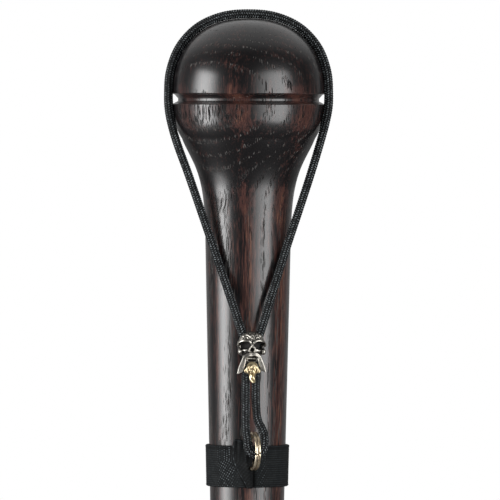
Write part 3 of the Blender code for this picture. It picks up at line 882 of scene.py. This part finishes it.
def braid_relief(left, right):
    """Height of a braid's surface, from 0 to 1, where each yarn goes over two and under two."""
    over = (np.floor(left) + np.floor(right)) % 4 < 2
    across = np.where(over, left % 1, right % 1)
    length = np.where(over, (np.floor(left) + right) % 4, (np.floor(right) + left) % 4 - 2) / 2
    return np.sin(math.pi * across) ** 0.8 * (0.25 + 0.75 * np.sin(math.pi * np.clip(length, 0, 1)))


def make_wrist_cord():
    line, along = evenly(catmull_rom(CORD_ROUTE, 24), CORD_STEP)
    yarns_round = np.linspace(0, BRAID_YARNS, CORD_SIDES, endpoint=False)
    along_cord, around_cord = np.meshgrid(along / BRAID_LEAD * BRAID_YARNS, yarns_round, indexing="ij")
    relief = braid_relief(around_cord + along_cord, around_cord - along_cord)
    radius = CORD_DIAMETER / 2 + BRAID_FULLNESS - BRAID_RELIEF * (1 - relief)
    rings = press_on_knob(swept(line, radius, CORD_SIDES))
    cord = from_rings("braided_wrist_cord", rings, cord_material())
    count_yarns(cord.data, around_cord, along_cord)
    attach(cord, "loop")
    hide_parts("wrist_cord")
    return cord, line


def count_yarns(mesh, around_cord, along_cord):
    """Gives every corner its count of yarns round the cord and along it, also where a round is complete."""
    corners = read(mesh.loops, "vertex_index")
    turn, reach = (np.append(counts, (0.0, 0.0))[corners] for counts in (around_cord, along_cord))
    starts = read(mesh.polygons, "loop_start")
    highest = np.repeat(np.maximum.reduceat(turn, starts), np.diff(np.append(starts, len(corners))))
    turn = np.where(highest - turn > BRAID_YARNS / 2, turn + BRAID_YARNS, turn)
    add_attribute(mesh, "around", "CORNER", turn)
    add_attribute(mesh, "along", "CORNER", reach)


def press_on_knob(rings):
    """Points close to the knob's skin go down to it, and those a little further out go part of the way."""
    centre = np.array((0.0, 0.0, GROOVE_Z))
    spot = rings - centre
    x, y, z = np.moveaxis(spot, -1, 0)
    reach = np.linalg.norm(spot, axis=-1)
    height = np.where(z > 0, DOME_HEIGHT, LOWER_BALL_HEIGHT)
    size = (np.hypot(x, y) / BALL_RADIUS) ** KNOB_POWER + np.abs(z / height) ** KNOB_POWER
    skin = reach / size ** (1 / KNOB_POWER)
    over = reach - skin
    stretch = (FLATTEN_REACH - TOUCH) / (FLATTEN_REACH - FLATTEN_WITHIN)
    pressed = TOUCH + np.clip(over - FLATTEN_WITHIN, 0, None) * stretch
    over = np.where((over < FLATTEN_REACH) & (z > FLATTEN_DOWN_TO), pressed, over)
    return centre + spot * ((skin + over) / reach)[..., None]


def band_radius(angle, z):
    """The band's inner face. angle runs from the lap at the back, 0, right round to 2 pi."""
    radius = taper_radius(z) + GAP
    across = (angle - math.pi) * radius
    bulge = BAND_BULGE * (1 + np.cos(math.pi * np.clip(across / BULGE_HALF_WIDTH, -1, 1))) / 2
    lap = BAND_LAP / 2 / radius
    climb = ease((angle - (2 * math.pi - lap - BAND_LAP_RAMP)) / BAND_LAP_RAMP)
    return radius + bulge + climb * (BAND_THICKNESS + 1.2 * GAP)


def weave(across, z):
    """Height of the elastic's surface: fine ribs along it, drawn into slanting columns beside the fold."""
    ribs = (0.15 + 0.65 * ripple(z / RIB_PITCH)) * (0.75 + 0.25 * ripple(across / WARP_PITCH))
    column = (across + COLUMN_SLANT * np.clip(SLANT_BELOW - z, 0, None)) / COLUMN_PITCH
    stagger = 0.5 * np.floor(column)
    dots = ripple(column) * (0.35 + 0.65 * ripple(z / DOT_PITCH + stagger))
    drawn = np.maximum(bell(across + 0.0074, 0.0042, 4), 0.7 * bell(across - 0.0050, 0.0022))
    return (ribs * (1 - drawn) + dots * drawn) * (1 - 0.9 * selvedge_line(z))


def from_edges(z, inset):
    """Distance to the nearer of two lines, this far inside the band's top and bottom."""
    return np.minimum(np.abs(z - BAND_TOP + inset), np.abs(z - BAND_BOTTOM - inset))


def selvedge_line(z):
    """The groove that sets off each of the band's woven edges, also darkened in colour there as painted
    shade.
    """
    return 0.8 * bell(from_edges(z, SELVEDGE), SELVEDGE_LINE)


def rolled_edge(z):
    """How far the woven edges stand proud, at the band's top and bottom."""
    return ROLLED_EDGE * bell(from_edges(z, 0.0006), 0.0004)


def band_section(rows):
    """Round the band's cross-section: how far out, from 0 to 1, and the height, for each point."""
    half = BAND_THICKNESS / 2
    low, high = BAND_BOTTOM + half, BAND_TOP - half
    back_rows = 10
    turn = np.linspace(0, math.pi, 8)[1:-1]
    out = (np.ones(rows), 0.5 + 0.5 * np.cos(turn), np.zeros(back_rows), 0.5 - 0.5 * np.cos(turn))
    up, down = np.linspace(low, high, rows), np.linspace(high, low, back_rows)
    height = (up, high + half * np.sin(turn), down, low - half * np.sin(turn))
    return np.concatenate(out), np.concatenate(height)


def make_elastic_band(material):
    """The sleeve of woven elastic, lapped at the back and pushed out where the ring passes under it."""
    lap = BAND_LAP / 2 / (taper_radius(BAND_TOP) + GAP)
    out, height = band_section(136)
    angle, z = np.meshgrid(np.linspace(-lap, 2 * math.pi + lap, 560), height, indexing="ij")
    across = (angle - math.pi) * taper_radius(BAND_TOP)
    crown = weave(across, z)
    low_down = np.clip((CREVICE_TOP - z) / 0.002, 0, 1)
    ridge = bell(across - RIDGE_X, 0.0011) * low_down
    crevice_and_shade = bell(across - CREVICE_X, 0.0006) * low_down
    relief = rolled_edge(z) + RIDGE_HEIGHT * ridge - CREVICE_DEPTH * crevice_and_shade - WEAVE_RELIEF * (1 - crown)
    rings = around(angle, band_radius(angle, z) + out * (BAND_THICKNESS + relief), z)
    # Painted shadow of the fold on the band just left of its free edge, and painted shade in the crevice.
    flap_shadow = bell(across - flap_left(z) + 0.00035, 0.00028)
    shown = np.where(out > 0.5, crown * (1 - 0.9 * crevice_and_shade) * (1 - 0.8 * flap_shadow), INSIDE_CROWN)
    band = from_rings("woven_band", rings, material, shown)
    cut_ring_slot(band)
    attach(band, "band")
    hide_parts("elastic_band")
    return band


def flap_left(z):
    """The free left edge of the fold, from the foot of the band up to its rounded corner."""
    up = np.clip((z - BAND_BOTTOM) / (FLAP_TOP - BAND_BOTTOM) / 0.75, 0, 1)
    return -0.0001 - 0.00485 * np.sin(math.pi / 2 * up) ** 1.35


def flap_row(up, share):
    """Points round one cross-section of the fold, and how pale the crown of the weave is at each, with a
    painted highlight along its edges.

    up is the row's place between the fold's foot and its top. share runs from the free edge to the crevice.
    """
    left = flap_left(FLAP_FOOT + (FLAP_TOP - FLAP_FOOT) * up)
    across = left + (CREVICE_X - left) * share
    top = FLAP_TOP - 0.0014 * share - 0.0020 * np.clip(1 - share / 0.25, 0, 1) ** 2.2
    z = FLAP_FOOT + (top - FLAP_FOOT) * up
    left_round = np.sqrt(1 - (1 - np.clip(share / 0.09, 0, 1)) ** 2)
    right_round = np.sqrt(1 - np.clip((share - 0.86) / 0.14, 0, 1) ** 2)
    end_round = math.sqrt(max(0.0, 1 - max(0.0, abs(2 * up - 1) - 0.93) ** 2 / 0.07**2))
    # Fullest behind the ring, and drawn flat at both of the band's edges.
    full = 0.0024 * bell(z - FLAP_FULLEST, 0.0048) + 0.0003
    roll = full * ease((share - 0.12) / 0.66)
    gathered = np.clip((up - 0.35) / 0.5, 0, 1) * left_round
    pleat = 0.00030 * np.cos(2 * math.pi * (3.3 * share - 0.5 * up)) * gathered
    crown = 0.65 * weave(across * 0.9 - 0.0050, z)
    stand = 0.00105 + roll + pleat - WEAVE_RELIEF * (1 - crown)
    stand = stand * left_round * right_round * max(end_round, 0.25)
    angle = math.pi + across / taper_radius(z)
    under = band_radius(angle, z) + BAND_THICKNESS - FLAP_SINK
    outer = around(angle, under + stand + FLAP_SINK, z)
    inner = around(angle, under, z)
    # A painted highlight along the fold's free edge and along its top.
    edge_highlight = np.maximum(bell(share - 0.06, 0.035), bell(up - 0.965, 0.02) * (share < 0.8))
    shown = np.maximum(crown * left_round, edge_highlight * (0.80 + 0.15 * math.cos(2 * math.pi * 8 * up)))
    hidden = np.full(len(share), INSIDE_CROWN)
    return np.concatenate([outer, inner[::-1]]), np.concatenate([shown, hidden])


def make_band_flap(material):
    """The fold that the ring pinches up: thin at its free left edge, and rolled high beside the crevice."""
    share = np.linspace(0, 1, 60)
    rows = [flap_row(up, share) for up in np.linspace(0, 1, 130)]
    rings, crowns = (np.array(values) for values in zip(*rows))
    flap = from_rings("band_flap", rings, material, crowns)
    cut_ring_slot(flap)
    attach(flap, "band")
    return flap


def cut_ring_slot(piece):
    """Leaves room in the fabric for the ring to turn."""
    bpy.ops.mesh.primitive_torus_add(
        major_segments=96, minor_segments=20, major_radius=RING_RADIUS, minor_radius=RING_ROOM
    )
    cutter = bpy.context.object
    stretch = Matrix.Scale(RING_ROOM_STRETCH, 4, (0, 0, 1))
    cutter.data.transform(ring_place() @ Matrix.Rotation(math.radians(90), 4, "Y") @ stretch)
    cut_away(piece, cutter, "MANIFOLD")


def make_band_stitching():
    """One zigzag of twisted thread up the lapped ends at the back."""
    corners = 13
    reach = 0.0024
    margin = 0.0012
    points = []
    for i, z in enumerate(np.linspace(BAND_BOTTOM + margin, BAND_TOP - margin, corners)):
        side = 1 if i % 2 else -1
        angle = 2 * math.pi + side * reach / taper_radius(z)
        points.append(around(angle, band_radius(angle, z) + BAND_THICKNESS + GAP + THREAD / 2, z))
    line, along = evenly(catmull_rom(points, 12), THREAD_STEP)
    sides = 16
    twist = 2 * math.pi * along[:, None] / THREAD_TWIST
    radius = THREAD / 2 * (0.88 + 0.12 * np.abs(np.cos(circle(sides) * 1.5 + twist)))
    thread = from_rings("twisted_stitching", swept(line, radius, sides), thread_material())
    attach(thread, "band")
    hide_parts("band_stitching")
    return thread


def ring_height(turn):
    """How far the wire stands along the ring's axis: one layer, a short step, the other layer."""
    step = np.clip((turn - 2 * math.pi) / RING_STEP, -1, 1)
    return RING_PITCH / 2 * np.sin(step * math.pi / 2)


def ring_place():
    return Matrix.Translation(RING_CENTRE) @ Matrix.Rotation(RING_TURN, 4, "Z")


def wire_section(sides):
    """Round the wire, along the ring's axis and outwards: a rounded rectangle, as flattened wire has."""
    across, out = np.cos(circle(sides)), np.sin(circle(sides))
    power = WIRE_SQUARENESS
    flat = 1 / (np.abs(across) ** power + np.abs(out) ** power) ** (1 / power)
    return RING_WIDTH / 2 * flat * across, RING_WIRE / 2 * flat * out


def make_split_ring():
    """Two turns of wire, in the ring's own frame, where X is its axis and -Y its front."""
    turns = np.linspace(RING_END, 4 * math.pi - RING_END, 420)
    angle = turns + RING_STEP_PLACE
    line = np.stack([ring_height(turns), -RING_RADIUS * np.cos(angle), -RING_RADIUS * np.sin(angle)], axis=1)
    axis = np.array((1.0, 0.0, 0.0))
    out = np.stack([0 * angle, -np.cos(angle), -np.sin(angle)], axis=1)
    from_end = np.minimum(turns - turns[0], turns[-1] - turns) * RING_RADIUS
    size = np.clip(0.75 + from_end / 0.0008, 0, 1)[:, None, None]
    width, height = wire_section(24)
    rings = line[:, None] + size * (axis * width[:, None] + out[:, None] * height[:, None])
    ring = from_rings("gold_split_ring", rings, metal_material("pale_gold_wire", *PALE_GOLD, cast=False))
    ring.data.transform(ring_place())
    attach(ring, "ring")
    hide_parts("split_ring")
    return ring


def blob(bm, centre, radii, segments=32, rings=24):
    """Adds an ellipsoid to bm, its measures in millimetres."""
    made = bmesh.ops.create_uvsphere(bm, u_segments=segments, v_segments=rings, radius=1.0)
    place = Matrix.Translation(np.multiply(centre, MM)) @ Matrix.Diagonal((*np.multiply(radii, MM), 1.0))
    bmesh.ops.transform(bm, matrix=place, verts=made["verts"])


def rod(bm, route, radii, side=1, sides=12):
    """Adds a tube to bm, in millimetres, its radii spread evenly over its length. A side of -1 mirrors it."""
    line = catmull_rom(np.multiply(route, (side * MM, MM, MM)), 8)
    thick = np.interp(np.linspace(0, 1, len(line)), np.linspace(0, 1, len(radii)), np.multiply(radii, MM))
    add_rings(bm, swept(line, thick[:, None], sides))


def melt(bm, name, voxel, rounds):
    """Melts overlapping shapes into one skin and smooths it. voxel is in millimetres."""
    bmesh.ops.recalc_face_normals(bm, faces=bm.faces)
    obj = add_object(name, mesh_from(bm, name))
    skin = obj.modifiers.new("skin", "REMESH")
    skin.mode = "VOXEL"
    skin.voxel_size = voxel * MM
    soften = obj.modifiers.new("soften", "SMOOTH")
    soften.factor = 0.5
    soften.iterations = rounds
    return apply_modifiers(obj)


def carve(places, centre, radii, turn_y=0.0, turn_z=0.0, power=2.0):
    """Pushes the front skin back onto the far side of an ellipsoid, or of a squarer shape with more power."""
    centre, radii = np.multiply(centre, MM), np.multiply(radii, MM)
    spin = Matrix.Rotation(math.radians(turn_z), 3, "Z") @ Matrix.Rotation(math.radians(turn_y), 3, "Y")
    spin = np.array(spin)
    local = (places - centre) @ spin / radii
    across = np.abs(local[:, 0]) ** power + np.abs(local[:, 2]) ** power
    back = np.clip(1 - across, 0, None) ** (1 / power)
    inside = (across < 1) & (local[:, 1] < back) & (local[:, 1] > -3)
    local[inside, 1] = back[inside]
    return np.where(inside[:, None], (local * radii) @ spin.T + centre, places)


def strands_place():
    """Where the bead's passage is, sloped as the two strands are."""
    return Matrix.Translation(BEAD_CENTRE) @ Matrix.Rotation(-math.atan(STRAND_SLOPE), 4, "X")


def bead_place():
    """The bead's own frame: that of the strands, turned a little to the side."""
    return strands_place() @ Matrix.Rotation(BEAD_YAW, 4, "Z")


def strand_slot():
    """A solid that fills the passage for the two strands."""
    depth = CORD_DIAMETER + 2 * GAP
    outline = STRAND_SLOT + tuple((-x, z) for x, z in reversed(STRAND_SLOT))
    bm = bmesh.new()
    face = bm.faces.new([bm.verts.new((x * MM, -depth / 2, z * MM)) for x, z in outline])
    made = bmesh.ops.extrude_face_region(bm, geom=[face])
    moved = [v for v in made["geom"] if isinstance(v, bmesh.types.BMVert)]
    bmesh.ops.translate(bm, verts=moved, vec=(0.0, depth, 0.0))
    bmesh.ops.recalc_face_normals(bm, faces=bm.faces)
    slot = add_object("strand_slot", mesh_from(bm, "strand_slot"))
    slot.data.transform(strands_place())
    return slot


def skull_masses(bm):
    """Crown, forehead, cheeks and jaw, then brow ridges, nose and cheekbones."""
    blob(bm, (0.0, 0.3, 1.2), (5.2, 5.0, 4.1))
    blob(bm, (0.0, -1.5, 2.4), (4.7, 3.5, 3.5))
    blob(bm, (0.0, 0.0, -1.0), (5.0, 4.7, 3.1))
    blob(bm, (0.0, -0.3, -3.5), (3.7, 4.1, 2.7))
    brow = ((0.4, -5.3, 1.3), (1.5, -5.3, 2.1), (3.3, -4.6, 2.2), (4.8, -3.1, 1.4), (5.2, -1.8, 0.4))
    nose = ((0.0, -5.5, 0.6), (0.6, -5.6, -0.7), (1.1, -5.3, -1.9))
    for side in (-1, 1):
        rod(bm, brow, (0.5, 0.6, 0.6, 0.5, 0.4), side)
        rod(bm, nose, (0.3, 0.5, 0.45), side)
        blob(bm, (side * 4.4, -2.9, -1.7), (0.85, 1.3, 1.2))


def hollow_out(skull):
    """Sockets and sunken cheeks, the opening of the nose, the mouth, and room for the beard under it."""
    places = places_of(skull)
    for side in (-1, 1):
        places = carve(places, (side * 3.0, -4.4, 0.4), (2.3, 2.2, 1.4), side * 4, side * 32, 4.0)
        places = carve(places, (side * 4.0, -3.6, -4.3), (1.2, 1.8, 1.4))
    places = carve(places, (0.0, -5.8, -1.1), (0.85, 2.2, 1.1))
    places = carve(places, (0.0, -5.0, -4.6), (2.6, 2.5, 1.3), power=3.0)
    places = carve(places, (0.0, -4.5, -7.2), (2.9, 2.3, 1.8))
    set_places(skull, places)


def nostrils_and_teeth(bm):
    for side in (-1, 1):
        rod(bm, ((0.0, -5.9, 0.6), (0.9, -6.0, -0.6), (1.28, -5.7, -1.9)), (0.26, 0.3, 0.28), side)
    for i in range(6):
        x = (i - 2.5) * 0.62
        blob(bm, (x, 0.08 * x * x - 4.0, -4.3), (0.28, 0.4, 0.38), segments=12, rings=8)


def moustache(bm):
    """Four locks that droop on both sides of the mouth, one under the other, a little less on the right."""
    thick = (0.26, 0.44, 0.46, 0.42, 0.36, 0.3)
    for lock in range(4):
        drop = lock * 0.42
        half = (
            (0.0, -5.6, -2.6 - drop * 0.55),
            (1.4, -5.6, -2.7 - drop * 0.60),
            (2.9 - drop * 0.3, -5.3, -3.7 - drop * 0.5),
            (3.8 - drop * 0.8, -5.0, -5.6),
            (4.7 - drop * 1.1, -4.7, -7.8),
            (5.4 - drop * 1.2, -4.4, -10.1 + drop * 0.5),
        )
        right = [(x * 0.93, y, z * 0.93) for x, y, z in half[1:]]
        arch = [(-x, y, z) for x, y, z in reversed(half)] + right
        rod(bm, arch, thick + thick[-2::-1])


def make_skull_bead():
    """A cast skull of its own drawing: crown, brow, sockets, cheekbones, teeth and a drooping moustache."""
    bm = bmesh.new()
    skull_masses(bm)
    masses = melt(bm, "skull_masses", 0.13, 2)
    hollow_out(masses)
    bm = bmesh.new()
    bm.from_mesh(masses.data)
    bpy.data.objects.remove(masses)
    nostrils_and_teeth(bm)
    moustache(bm)
    skull = melt(bm, "cast_skull_bead", 0.11, 1)
    engrave(skull)
    skull.data.transform(bead_place())
    cut_away(skull, strand_slot(), "EXACT")
    finish_cast(skull, metal_material("old_silver", *OLD_SILVER), skull_painted_shade(skull))
    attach(skull, "bead")
    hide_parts("skull_bead")
    return skull


def engrave(skull):
    """Cuts a dotted arc, two crescents and a small diamond into the crown."""
    places = places_of(skull)
    x, y, z = places.T / MM
    cuts = []
    for side in (-1, 1):
        away = np.hypot(x - side * 2.2, z - 3.1)
        cuts += [bell(away - 1.1, 0.18) * (z > 3.0), bell(away, 0.35)]
    for i in range(7):
        angle = math.radians(30 + 20 * i)
        cuts.append(bell(np.hypot(x - 3.9 * math.cos(angle), z - 2.0 - 3.2 * math.sin(angle)), 0.24))
    diamond = np.abs(x) + np.abs(z - 3.4) * 0.7
    cuts.append(bell(diamond - 0.6, 0.16))
    depth = ENGRAVING * np.max(cuts, axis=0) * (y < BEAD_FRONT_Y)
    inward = -places / np.linalg.norm(places, axis=1)[:, None]
    set_places(skull, places + inward * depth[:, None])


def skull_painted_shade(skull):
    """How much painted shade blackens each point of the skull beyond the patina of its hollows, from 0 to 1.
    """
    back = np.array(bead_place().inverted())
    x, y, z = (places_of(skull) @ back[:3, :3].T + back[:3, 3]).T / MM
    darker = 0.0
    for across, up, half_width, half_height, amount in BEAD_SHADOWS:
        away = ((x - across) / half_width) ** 2 + ((z - up) / half_height) ** 2
        darker = np.maximum(darker, amount * np.clip(1.6 * (1 - away), 0, 1))
    return darker * (y < BEAD_FRONT_Y)


def cavity_of(obj):
    """How hollow the surface is at each point, from 0 on a ridge to 1 in a pit."""
    places = places_of(obj)
    first, second = read(obj.data.edges, "vertices", 2).T
    average = places
    for _ in range(CAVITY_REACH):
        total = average.copy()
        count = np.ones(len(places))
        for near, far in ((first, second), (second, first)):
            np.add.at(total, near, average[far])
            np.add.at(count, near, 1)
        average = total / count[:, None]
    rise = ((average - places) * read(obj.data.vertices, "normal", 3, float)).sum(1)
    return np.clip(0.5 + 0.5 * rise / np.percentile(np.abs(rise), 90), 0, 1)


def finish_cast(obj, material, darker):
    """Gives a casting its metal and the hollows that darken it. darker adds to them, as painted shade on the
    skull, or takes some away.
    """
    obj.data.shade_smooth()
    cavity = cavity_of(obj)
    # Ridges stay bright, whatever is round them.
    cavity = np.clip(cavity + darker * np.clip((cavity - 0.2) / 0.2, 0, 1), 0, 1)
    add_attribute(obj.data, "cavity", "POINT", cavity)
    obj.data.materials.clear()
    obj.data.materials.append(material)


def beard_half(bm, side):
    """Two locks, a curl, and one of the two strands of the twisted end."""
    for lock in range(2):
        start = 0.5 + 0.9 * lock
        route = (
            (start * 0.9, BEARD_Y - 0.8, -6.6),
            (start * 1.15, BEARD_Y - 1.2, -7.6),
            (start * 1.3 + 0.3, BEARD_Y - 1.1, -8.8),
            (start * 1.25, BEARD_Y - 0.9, -9.8),
        )
        rod(bm, route, (0.42, 0.50, 0.45, 0.3), side, sides=10)
    curl = []
    twist = []
    for i in range(9):
        angle = math.radians(150 - 40 * i)
        size = 0.78 - 0.02 * i
        curl.append((2.0 + size * math.cos(angle), BEARD_Y - 0.6, -9.0 + size * math.sin(angle)))
        angle = side * math.pi / 2 + math.radians(50) * i
        size = 0.75 * (1 - i / 14)
        y = BEARD_Y - 0.6 - size * math.cos(angle)
        twist.append((size * math.sin(angle) + 0.06 * i, y, -7.8 - 0.7 * i))
    rod(bm, curl, (0.3, 0.32, 0.24), side, sides=10)
    rod(bm, twist, (0.6, 0.65, 0.55, 0.35))


def make_bead_beard():
    """A knotted beard of brass: broad under the lip, a curl at each side, and a twisted end."""
    bm = bmesh.new()
    blob(bm, (0.0, BEARD_Y - 0.2, -7.5), (2.1, 1.4, 2.0))
    blob(bm, (0.0, BEARD_Y, -9.0), (2.2, 1.1, 1.6))
    blob(bm, (0.0, BEARD_Y, -10.8), (1.2, 1.0, 2.4))
    beard_half(bm, -1)
    beard_half(bm, 1)
    beard = melt(bm, "cast_bead_beard", 0.10, 1)
    beard.data.transform(bead_place())
    finish_cast(beard, metal_material("bright_brass", *BRASS), BEARD_TARNISH)
    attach(beard, "bead")
    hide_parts("bead_beard")
    return beard


def make_camera():
    camera = add_object("camera", bpy.data.cameras.new("camera"))
    bpy.context.scene.camera = camera
    camera.location = (AIM.x, -CAMERA_DISTANCE, GROOVE_Z)
    sight = AIM - camera.location
    camera.rotation_mode = "QUATERNION"
    roll = Matrix.Rotation(CAMERA_ROLL, 3, "Z").to_quaternion()
    camera.rotation_quaternion = sight.to_track_quat("-Z", "Y") @ roll
    camera.data.sensor_width = SENSOR
    camera.data.lens = SENSOR * CAMERA_DISTANCE / PICTURE_WIDTH
    camera.data.clip_start = 0.1
    camera.data.clip_end = 100.0


def softbox(name, azimuth, width, high, radiance, left_fade, right_fade):
    """A panel of light that stands on the floor, faces the cane, and fades towards its edges.

    azimuth is in degrees from the camera's side, to the right. left_fade and right_fade are the shares of its
    width over which it fades, from its edges on the left and on the right of the cane's own view of it.
    """
    lamp = bpy.data.lights.new(name, "AREA")
    lamp.shape = "RECTANGLE"
    lamp.size = width
    lamp.size_y = high
    lamp.energy = radiance * math.pi * width * high
    lamp.use_nodes = True
    nodes = Nodes(lamp.node_tree, "Emission")
    across, up, _ = nodes.parts(nodes.node("ShaderNodeNewGeometry", "Parametric"))
    share = across.fade(0.0, left_fade) * across.fade(1.0, 1 - right_fade)
    nodes.surface("Strength", share * up.fade(0.0, LAMP_END_FADE) * up.fade(1.0, 1 - LAMP_END_FADE))
    panel = add_object(name, lamp)
    angle = math.radians(azimuth)
    panel.location = (LAMP_DISTANCE * math.sin(angle), -LAMP_DISTANCE * math.cos(angle), high / 2)
    panel.rotation_euler = (math.radians(90), 0.0, angle)
    panel.visible_camera = False


def light_scene():
    softbox("left_strip", azimuth=-70, width=1.42, high=1.52, radiance=8.4, left_fade=0.48, right_fade=0.48)
    softbox("right_strip", azimuth=37, width=2.00, high=1.64, radiance=4.8, left_fade=0.70, right_fade=0.30)
    bpy.context.scene.view_settings.view_transform = "Standard"


def make_world():
    """White to the camera. To glossy surfaces it is bright overhead and behind, and dark in front."""
    world = bpy.data.worlds.new("studio")
    bpy.context.scene.world = world
    world.use_nodes = True
    nodes = Nodes(world.node_tree, "Background")
    rays = ("Is Camera Ray", "Is Glossy Ray", "Is Transmission Ray")
    camera, glossy, passed = nodes.node("ShaderNodeLightPath", rays)
    _, ahead, up = nodes.parts(nodes.node("ShaderNodeTexCoord", "Generated"))
    overhead = (ahead * 0.55 + up).fade(0.5, 1.0, 0.0, OVERHEAD)
    behind = ahead.fade(0.2, 1.0, 0.0, BEHIND)
    below = (up * -1.0).fade(0.2, 0.9, 0.0, BELOW)
    seen = overhead.maths("MAXIMUM", behind).maths("MAXIMUM", below) + IN_FRONT
    gloss = glossy.maths("MAXIMUM", passed)
    nodes.surface("Strength", camera.maths("MAXIMUM", gloss * seen + (1.0 - gloss) * FILL))
    nodes.surface("Color", (1.0, 1.0, 1.0))


def make_floor():
    bm = bmesh.new()
    bmesh.ops.create_circle(bm, cap_ends=True, segments=96, radius=FLOOR_RADIUS)
    floor = add_object("floor", mesh_from(bm, "floor"))
    floor.data.materials.append(floor_material())
    floor.visible_glossy = False


make_camera()
cord, cord_line = make_wrist_cord()
make_stick()
make_ferrule()
elastic = elastic_material()
band = make_elastic_band(elastic)
flap = make_band_flap(elastic)
stitching = make_band_stitching()
make_split_ring()
skull = make_skull_bead()
beard = make_bead_beard()
make_floor()
make_world()
light_scene()
